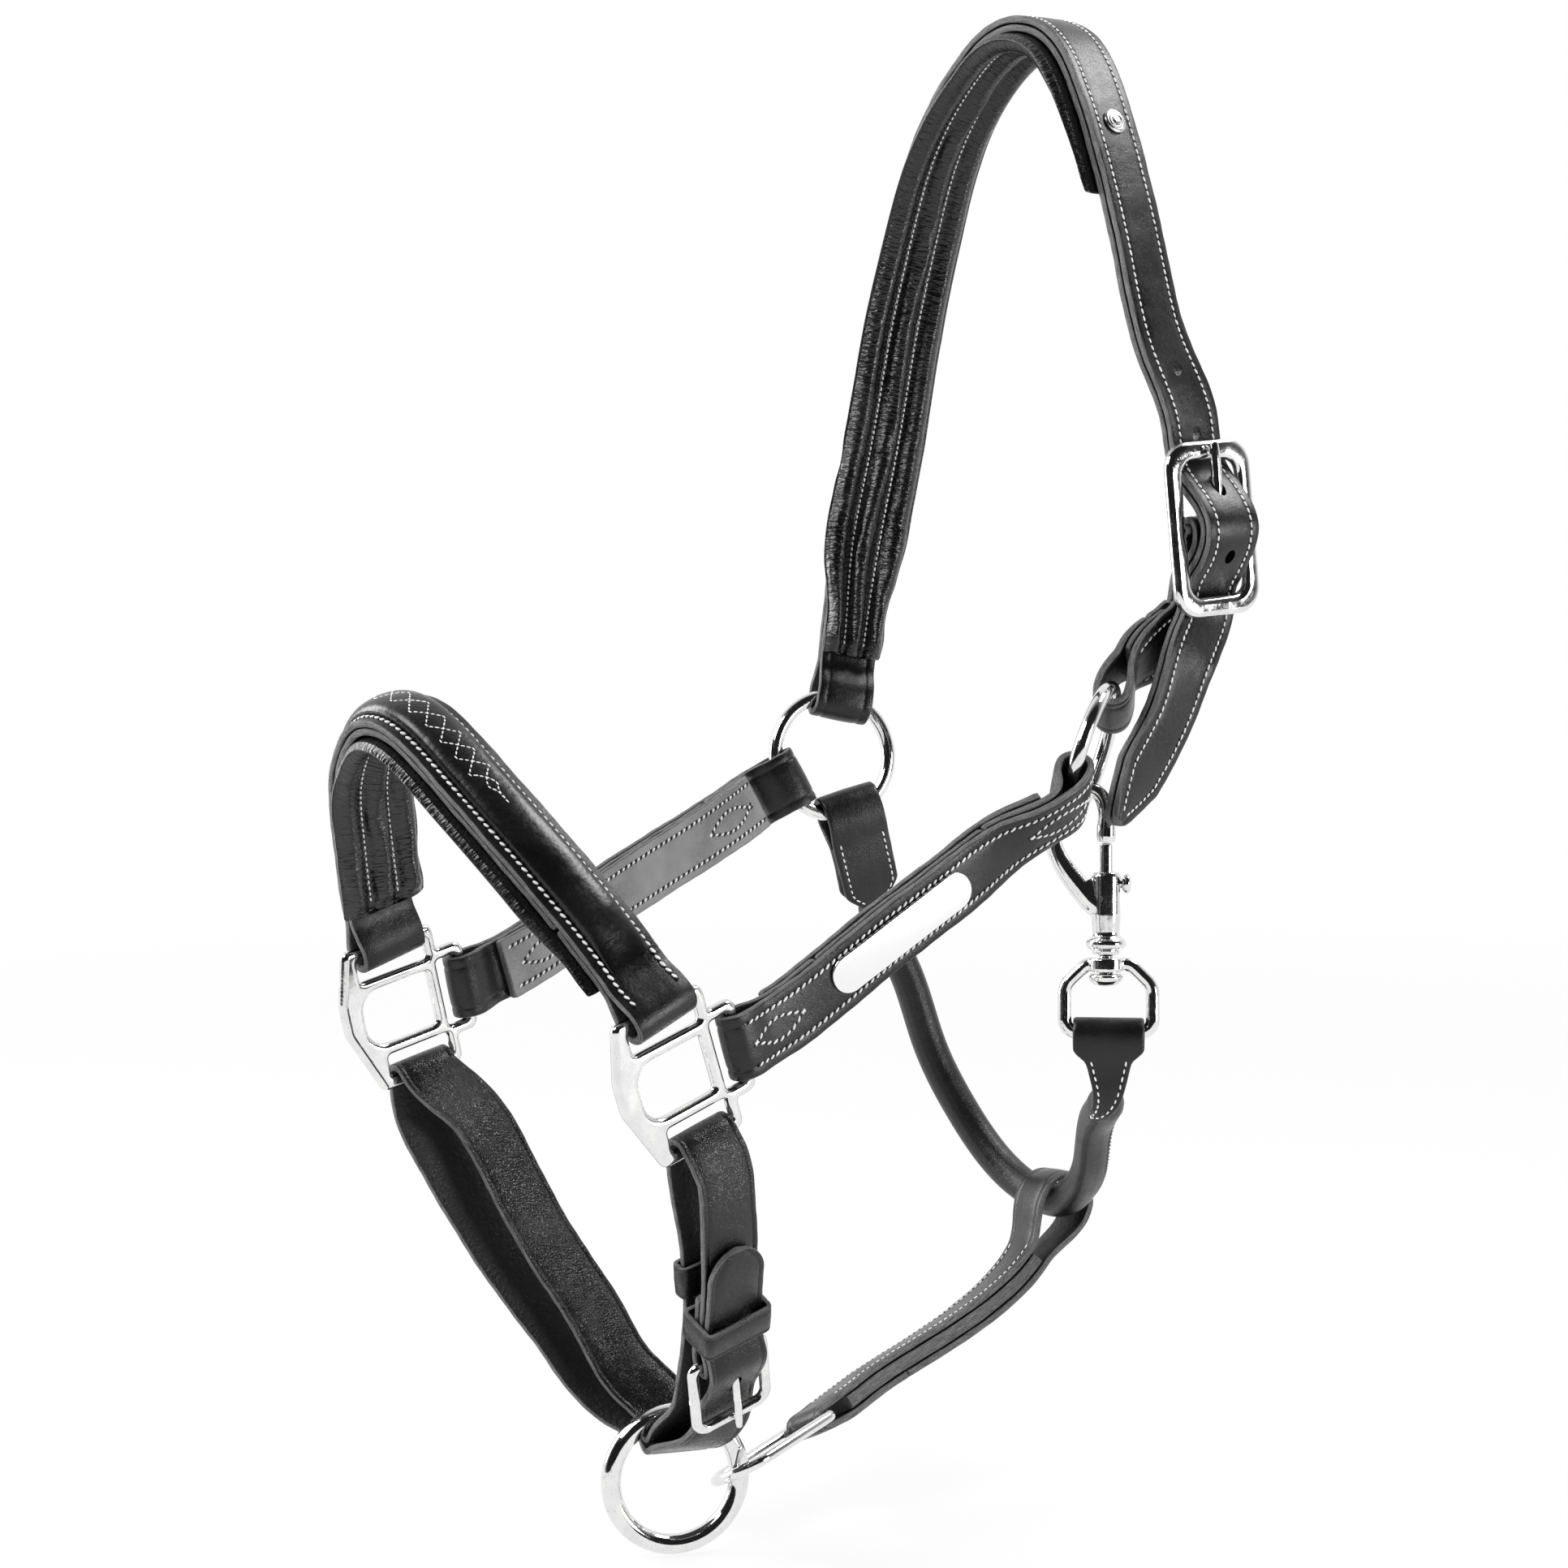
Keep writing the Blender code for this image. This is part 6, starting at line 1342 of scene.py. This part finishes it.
def ring(seat, thickness, nodeName, around=112, across=22):
    out = circle(seat.first, seat.second, around)[:, None]
    turns = np.linspace(0, 2 * math.pi, across, endpoint=False)[:, None]
    tube = (out * np.cos(turns) + seat.normal * np.sin(turns)) * thickness / 2
    verts = (seat.centre + out * ringRadius + tube).reshape(-1, 3)
    made = newPiece("ring", verts, gridFaces(around, across, True), material=steel)
    metal(outwards(made, 60), nodeName, nodeName)


ring(nearRing, wire["ring"], "near_ring")
ring(offRing, wire["ring"], "off_ring")
ring(chinRing, wire["chinRing"], "chin_ring")


def bentWire(seat, corners, diameter, nodeName, body):
    made = rod([seat.at(a, b) for a, b in rounded(corners, 8)], diameter, closed=True)
    made.data.shade_smooth()
    metal(dress(made, steel), nodeName, body)


linkCorners = box(np.linalg.norm(linkRear - linkFront) / 2, wide["connector"] / 2 + 1.2 + wire["link"] / 2,
                  11.0, 3.5)
bentWire(link, linkCorners, wire["link"] - 0.15, "connector_link", "link")
buckleCorners = box(-heel, (chinLook["buckleWidth"] - wire["chinBuckle"]) / 2, 3.0, 5.0)
bentWire(chinBuckle, buckleCorners, wire["chinBuckle"], "chin_buckle_frame", "halter")


# squares

def threeWaySquare(nodeName, seat):
    (longA, longB), rim, slot = square["opening"], square["rim"], square["slot"]
    halfA, halfB = longA / 2, longB / 2
    out = square["bar"] + slot + rim
    top, back, frontAt = halfB + out, halfA + out, halfA + 9.5
    lobe, noseAt, chinAt = square["cheekSlot"] / 2 + rim, square["noseShift"], square["chinShift"]
    noseHalf, chinHalf = square["noseSlot"] / 2 + rim, square["chinSlot"] / 2 + rim
    outline = [(chinAt - chinHalf, -top, 3.0), (chinAt + chinHalf, -top, 4.0),
               (chinAt + chinHalf, -lobe, 0.8), (back, -lobe, 4.5), (back, lobe, 4.5), (noseAt + noseHalf, lobe, 0.8),
               (noseAt + noseHalf, top, 4.0), (noseAt - noseHalf, top, 3.0),
               (-frontAt, 0.8 * halfB, 6.0), (-frontAt, -0.3 * halfB, 6.0)]
    outlines, at = [outline, box(halfA, halfB, 8.0, 2.0)], square["bar"] + slot / 2
    for a, b, sizeA, sizeB in ((noseAt, halfB + at, square["noseSlot"], slot),
                               (halfA + at, 0.0, slot, square["cheekSlot"]),
                               (chinAt, -halfB - at, square["chinSlot"], slot)):
        outlines.append([(a + x, b + y, radius) for x, y, radius in box(sizeA / 2, sizeB / 2, 1.5)])
    rough = plate(seat, [rounded(corners) for corners in outlines], square["thickness"], 2.1, 4)
    metal(cast(rough, 0.42, 5, seat=seat), nodeName)


threeWaySquare("near_square", nearSquare)
threeWaySquare("off_square", offSquare)


# crown buckle, tongues, stud and nameplate

buckleLook = {"length": 70.0, "width": 43.0, "leg": 7.5, "endBar": 8.0, "thickness": 5.0, "bar": 5.0}
halfL, halfW = buckleLook["length"] / 2, buckleLook["width"] / 2
innerL, innerW = halfL - buckleLook["endBar"], halfW - buckleLook["leg"]
body = plate(buckle, [rounded(box(halfL, halfW, 11.0), 8), rounded(box(innerL, innerW, 6.0))],
             buckleLook["thickness"], 2.4, 5)
barRadius = buckleLook["bar"] / 2
bar = turned(buckle.at(0.0, -innerW - 2.0), buckle.second, buckle.first,
             [(0.0, barRadius), (2 * innerW + 4.0, barRadius)], 24)
metal(cast(join(body, bar), 0.42, 12, seat=buckle), "crown_buckle_frame")


def tongue(nodeName, body, seat, barAt, bar, thick, tip, rise, extra):
    # wrapped round its bar, then out to a tip that rests at this rise
    eye = bar / 2 + gap + thick / 2 + 0.1
    way = np.sign(tip - barAt)
    points = [seat.at(barAt + way * eye * math.cos(math.radians(a)), 0.0, eye * math.sin(math.radians(a)))
              for a in (-30, -50, -75, -97, -120, -142, -165, 172, 150, 127, 105)]
    for share in (0.25, 0.4, 0.5, 0.65, 0.8, 0.92, 1.0):
        points.append(seat.at(barAt + (tip - barAt) * share, 0.0, eye + (rise - eye) * ease(share)))
    radii = [1.0] * (len(points) - 2) + [0.92, 0.7]
    metal(cast(rod(points, thick + extra, radii, steps=5), 0.28, 3), nodeName, body)


tongue("crown_buckle_tongue", "crown_tongue", buckle, 0.0, buckleLook["bar"], 4.0, -34.0, 5.5, 0.35)
tongue("chin_buckle_tongue", "chin_tongue", chinBuckle, heel, wire["chinBuckle"], 3.2, -heel + 3.0,
       chinRise + 0.6, 0.1)

studPlace, studAlong, _, studFace = crown.frame(crown.nearest((54, 34.5, 256)))
base, radius = crownOut + halfPly + 0.1, crownLook["stud"] / 2
studRings = ((0.0, 0.5), (0.35, 0.05), (0.8, 0.0), (1.2, 0.25), (1.5, 0.7), (1.55, 1.1), (1.35, 1.35),
             (1.4, 1.6), (1.85, 2.0), (1.9, 2.4), (1.65, 2.7), (1.7, 2.95), (2.05, 3.4))
profile = [(base + rise, radius - inset) for rise, inset in studRings]
profile += [(base + 2.15, 0.9), (base + 2.18, 0.2)]
metal(turned(studPlace, studFace, studAlong, profile, 56, satinSteel), "crown_stud")

plateLook = {"length": 68.0, "width": 15.0, "thickness": 1.2}
platePlace, plateAlong, _, plateFace = nearCheek.frame(nearCheek.length * 0.55)
plateHeight = stack + halfPly + gap + 0.25 + plateLook["thickness"] / 2
plateSeat = Seat(platePlace + plateFace * plateHeight, plateAlong, plateFace)
outline = rounded(box(plateLook["length"] / 2, plateLook["width"] / 2, 7.3), 10)
metal(dress(plate(plateSeat, [outline], plateLook["thickness"], 0.5, 4), plateSteel), "nameplate")
print("buckles and plate made")


# bolt snap: places are along its own length, then to the side that its hook bulges to

snapLook = {"barrel": 11.5, "bolt": 5.2, "top": 2.5, "length": 29.0, "collar": 16.0, "head": 14.0,
            "shank": 5.0, "travel": 11.0, "knob": -2.0, "eyeTop": -33.8, "eyeWidth": 40.0,
            "bore": (6.2, 6.2, 30.0)}
barrel, collar, shank, head, bolt = (
    snapLook[name] / 2 for name in ("barrel", "collar", "shank", "head", "bolt"))
top, eyeTop, knob = snapLook["top"], snapLook["eyeTop"], snapLook["knob"]
bottom = top - snapLook["length"]
below = eyeTop - wire["eye"] / 2
profile = [(top, barrel - 0.8), (top - 1.5, barrel), (-14.0, barrel), (bottom + 5.0, barrel - 0.5),
           (bottom + 3.8, barrel - 0.3), (bottom + 3.0, collar - 1.2), (bottom + 2.0, collar - 0.2),
           (bottom + 0.8, collar), (bottom - 0.4, collar - 0.2), (bottom - 1.4, collar - 1.3),
           (bottom - 1.9, barrel - 0.4), (bottom - 3.4, barrel - 0.4), (bottom - 3.8, shank),
           (below - 0.9, shank), (below - 0.9, head - 1.0), (below - 2.0, head), (below - 3.6, head - 0.4),
           (below - 5.2, head - 2.2), (below - 6.0, head - 4.6)]
body = turned(snap.centre, snap.first, snap.second, profile, 48)
hookLine = [(-13.0, 1.5), (-9.5, 5.5), (-2.3, 11.5), (4.5, 16.5), (11.0, 19.8), (18.0, 21.3), (25.0, 20.6),
            (31.0, 17.0), (34.8, 11.0), (34.8, 5.0), (31.0, 1.2), (25.0, 0.0), (20.0, 0.0), (16.5, 0.0),
            (14.3, 0.0)]
thick = [1.2, 1.45, 1.4, 1.25, 1.12, 1.02, 1.0, 1.0, 1.0, 1.0, 1.0, 1.05, 1.2, 1.2, 1.05]
knots, fine = np.arange(len(hookLine), dtype=float), np.linspace(0, len(hookLine) - 1, 80)
hook = rod([snap.at(a, b) for a, b in smoothThrough(knots, hookLine, fine)], wire["hook"],
           np.interp(fine, knots, thick))
web = rod([snap.at(-11.0, 3.0), snap.at(-6.0, 5.5), snap.at(-1.4, 8.6)], 7.0)
slotLow, slotTop = knob - snapLook["travel"] - 2.0, knob + 2.0
bore = (Seat(snap.at(-10.0), snap.second, snap.first), *snapLook["bore"])
slot = (Seat(snap.at((slotLow + slotTop) / 2, -6.0), snap.first, snap.second), slotTop - slotLow, 4.2, 11.0)
metal(punch(punch(cast(join(body, hook, web), 0.3, 3), bore), slot), "snap_body", "snap")

boltRod = turned(snap.centre, snap.first, snap.second,
                 [(-12.5, bolt), (13.2, bolt), (13.75, bolt - 0.3), (14.0, bolt - 0.9)], 32)
stem = turned(snap.at(knob), -snap.second, snap.first, [(0.0, 1.7), (7.0, 1.7)], 24)
thumb = turned(snap.at(knob), -snap.second, snap.first,
               [(6.1, 1.7), (6.5, 2.8), (7.3, 3.7), (8.3, 4.0), (9.1, 3.6), (9.6, 2.6), (9.75, 1.2)], 32)
metal(cast(join(boltRod, stem, thumb), 0.25, 2), "snap_bolt", "bolt")

half = (snapLook["eyeWidth"] - wire["eye"]) / 2
corners = [(eyeTop, -8.5, 5.0), (eyeTop, 8.5, 5.0), (eyeTop - 8.5, half, 8.0), (eyeDrop, half, 4.5),
           (eyeDrop, -half, 4.5), (eyeTop - 8.5, -half, 8.0)]
loop = rod([snap.at(a, b - 1.0) for a, b in rounded(corners)], wire["eye"], closed=True)
boss = turned(snap.centre, snap.first, snap.second,
              [(below - 0.2, 6.6), (below + 0.6, 7.2), (eyeTop + 2.0, 7.2), (eyeTop + 2.7, 6.6)])
eyeHole = (Seat(snap.at(eyeTop), snap.second, snap.first), 5.6, 5.6, 12.0)
metal(punch(cast(join(loop, boss), 0.3, 3), eyeHole), "snap_swivel_eye")
print("snap made")


# stage, lights and camera

studio = {"floorSize": 5.0, "world": 0.4, "floorGlow": 0.88, "fadeFrom": 0.6, "fadeTo": 1.8,
          "darkSide": 0.015, "darkFrom": -0.45, "darkTo": 0.4, "lens": 72.99}
lamps = {"keyBox": ((-1.0, 1.0, 0.6), 15.0, 0.7, 0.7), "topBox": ((0.85, 1.15, -0.25), 13.0, 0.7, 0.5),
         "rimBox": ((-1.25, 0.45, -0.35), 20.0, 0.5, 1.2), "sideBox": ((1.35, -0.05, 0.65), 9.0, 0.5, 0.45)}
scene = bpy.context.scene
middle = (Vector(cadBox[0]) + Vector(cadBox[1])) / 2
bpy.ops.mesh.primitive_plane_add(size=studio["floorSize"], location=(0, 0, cadBox[0][2] - 0.0006))
floor = bpy.context.object
floor.name = "floor"
floor.data.transform(floor.matrix_world)
floor.matrix_world = Matrix.Identity(4)


def seenDirect(nodes):
    # one for camera, mirror and glass rays
    path = nodes.add("ShaderNodeLightPath")
    both = nodes.math(path["Is Camera Ray"], path["Is Glossy Ray"], use_clamp=True)
    return nodes.math(both, path["Is Transmission Ray"], use_clamp=True)


floorLook, nodes, shader = newLook("paleFloor")
cloud = nodes.add("ShaderNodeTexNoise", None, Scale=3.0, Detail=3.0)["Fac"]
nodes.put(nodes.blend(cloud, 0.78, 0.84), shader["Base Color"])
nodes.put(0.9, shader["Roughness"])
glow = nodes.add("ShaderNodeEmission", None, Color=(1.0, 1.0, 1.0, 1.0), Strength=1.0)[0]
fromMiddle = nodes.add("ShaderNodeVectorMath", {"operation": "LENGTH"}, i0=nodes.objectPlace())["Value"]
reach = nodes.ranged(fromMiddle, studio["fadeFrom"], studio["fadeTo"], studio["floorGlow"], 1.0)
plain = nodes.tree.nodes["Principled BSDF"].outputs[0]
mixed = nodes.add("ShaderNodeMixShader", None, i0=nodes.times(seenDirect(nodes), reach), i1=plain, i2=glow)[0]
nodes.put(mixed, nodes.tree.nodes["Material Output"].inputs["Surface"])
dress(floor, floorLook)

world = bpy.data.worlds.new("studio")
scene.world = world
world.use_nodes = True
nodes = Nodes(world.node_tree)
background = world.node_tree.nodes["Background"].inputs
nodes.put((1.0, 1.0, 1.0, 1.0), background["Color"])
place, ahead = np.array((0.9927, -0.8664, 0.1161)), np.array((-0.78434, 0.61280, -0.09637))
right, up = np.array((0.61589, 0.78783, -0.00301)), np.array((-0.07408, 0.06171, 0.99534))

# the room is white all round, but dim on the photographed side
toDim = nodes.add("ShaderNodeVectorMath", {"operation": "DOT_PRODUCT"}, i1=tuple(-ahead),
                  i0=nodes.add("ShaderNodeTexCoord")["Generated"])["Value"]
dim = nodes.ranged(toDim, studio["darkFrom"], studio["darkTo"], 1.0, studio["darkSide"], "SMOOTHSTEP")
mirrored = nodes.math(dim, nodes.add("ShaderNodeLightPath")["Is Camera Ray"], "MAXIMUM")
direct = seenDirect(nodes)
lit = nodes.times(nodes.math(1.0, direct, "SUBTRACT"), studio["world"])
nodes.put(nodes.math(lit, nodes.times(mirrored, direct)), background["Strength"])

lens = bpy.data.cameras.new("camera")
lens.lens, lens.sensor_width, lens.clip_start = studio["lens"], 36.0, 0.01
camera = bpy.data.objects.new("camera", lens)
camera.matrix_world = Matrix([[right[k], up[k], -ahead[k], place[k]] for k in range(3)] + [[0, 0, 0, 1]])
scene.collection.objects.link(camera)
scene.camera = camera

for name, (offset, power, width, height) in lamps.items():
    light = bpy.data.lights.new(name, "AREA")
    light.shape, light.size, light.size_y, light.energy = "RECTANGLE", width, height, power
    lamp = bpy.data.objects.new(name, light)
    spot = middle + Vector(right * offset[0] + np.array((0, 0, 1.0)) * offset[1] - ahead * offset[2])
    lamp.location = spot
    lamp.rotation_euler = (middle - spot).to_track_quat("-Z", "Y").to_euler()
    scene.collection.objects.link(lamp)
scene.view_settings.view_transform = "Standard"
print("stage set")
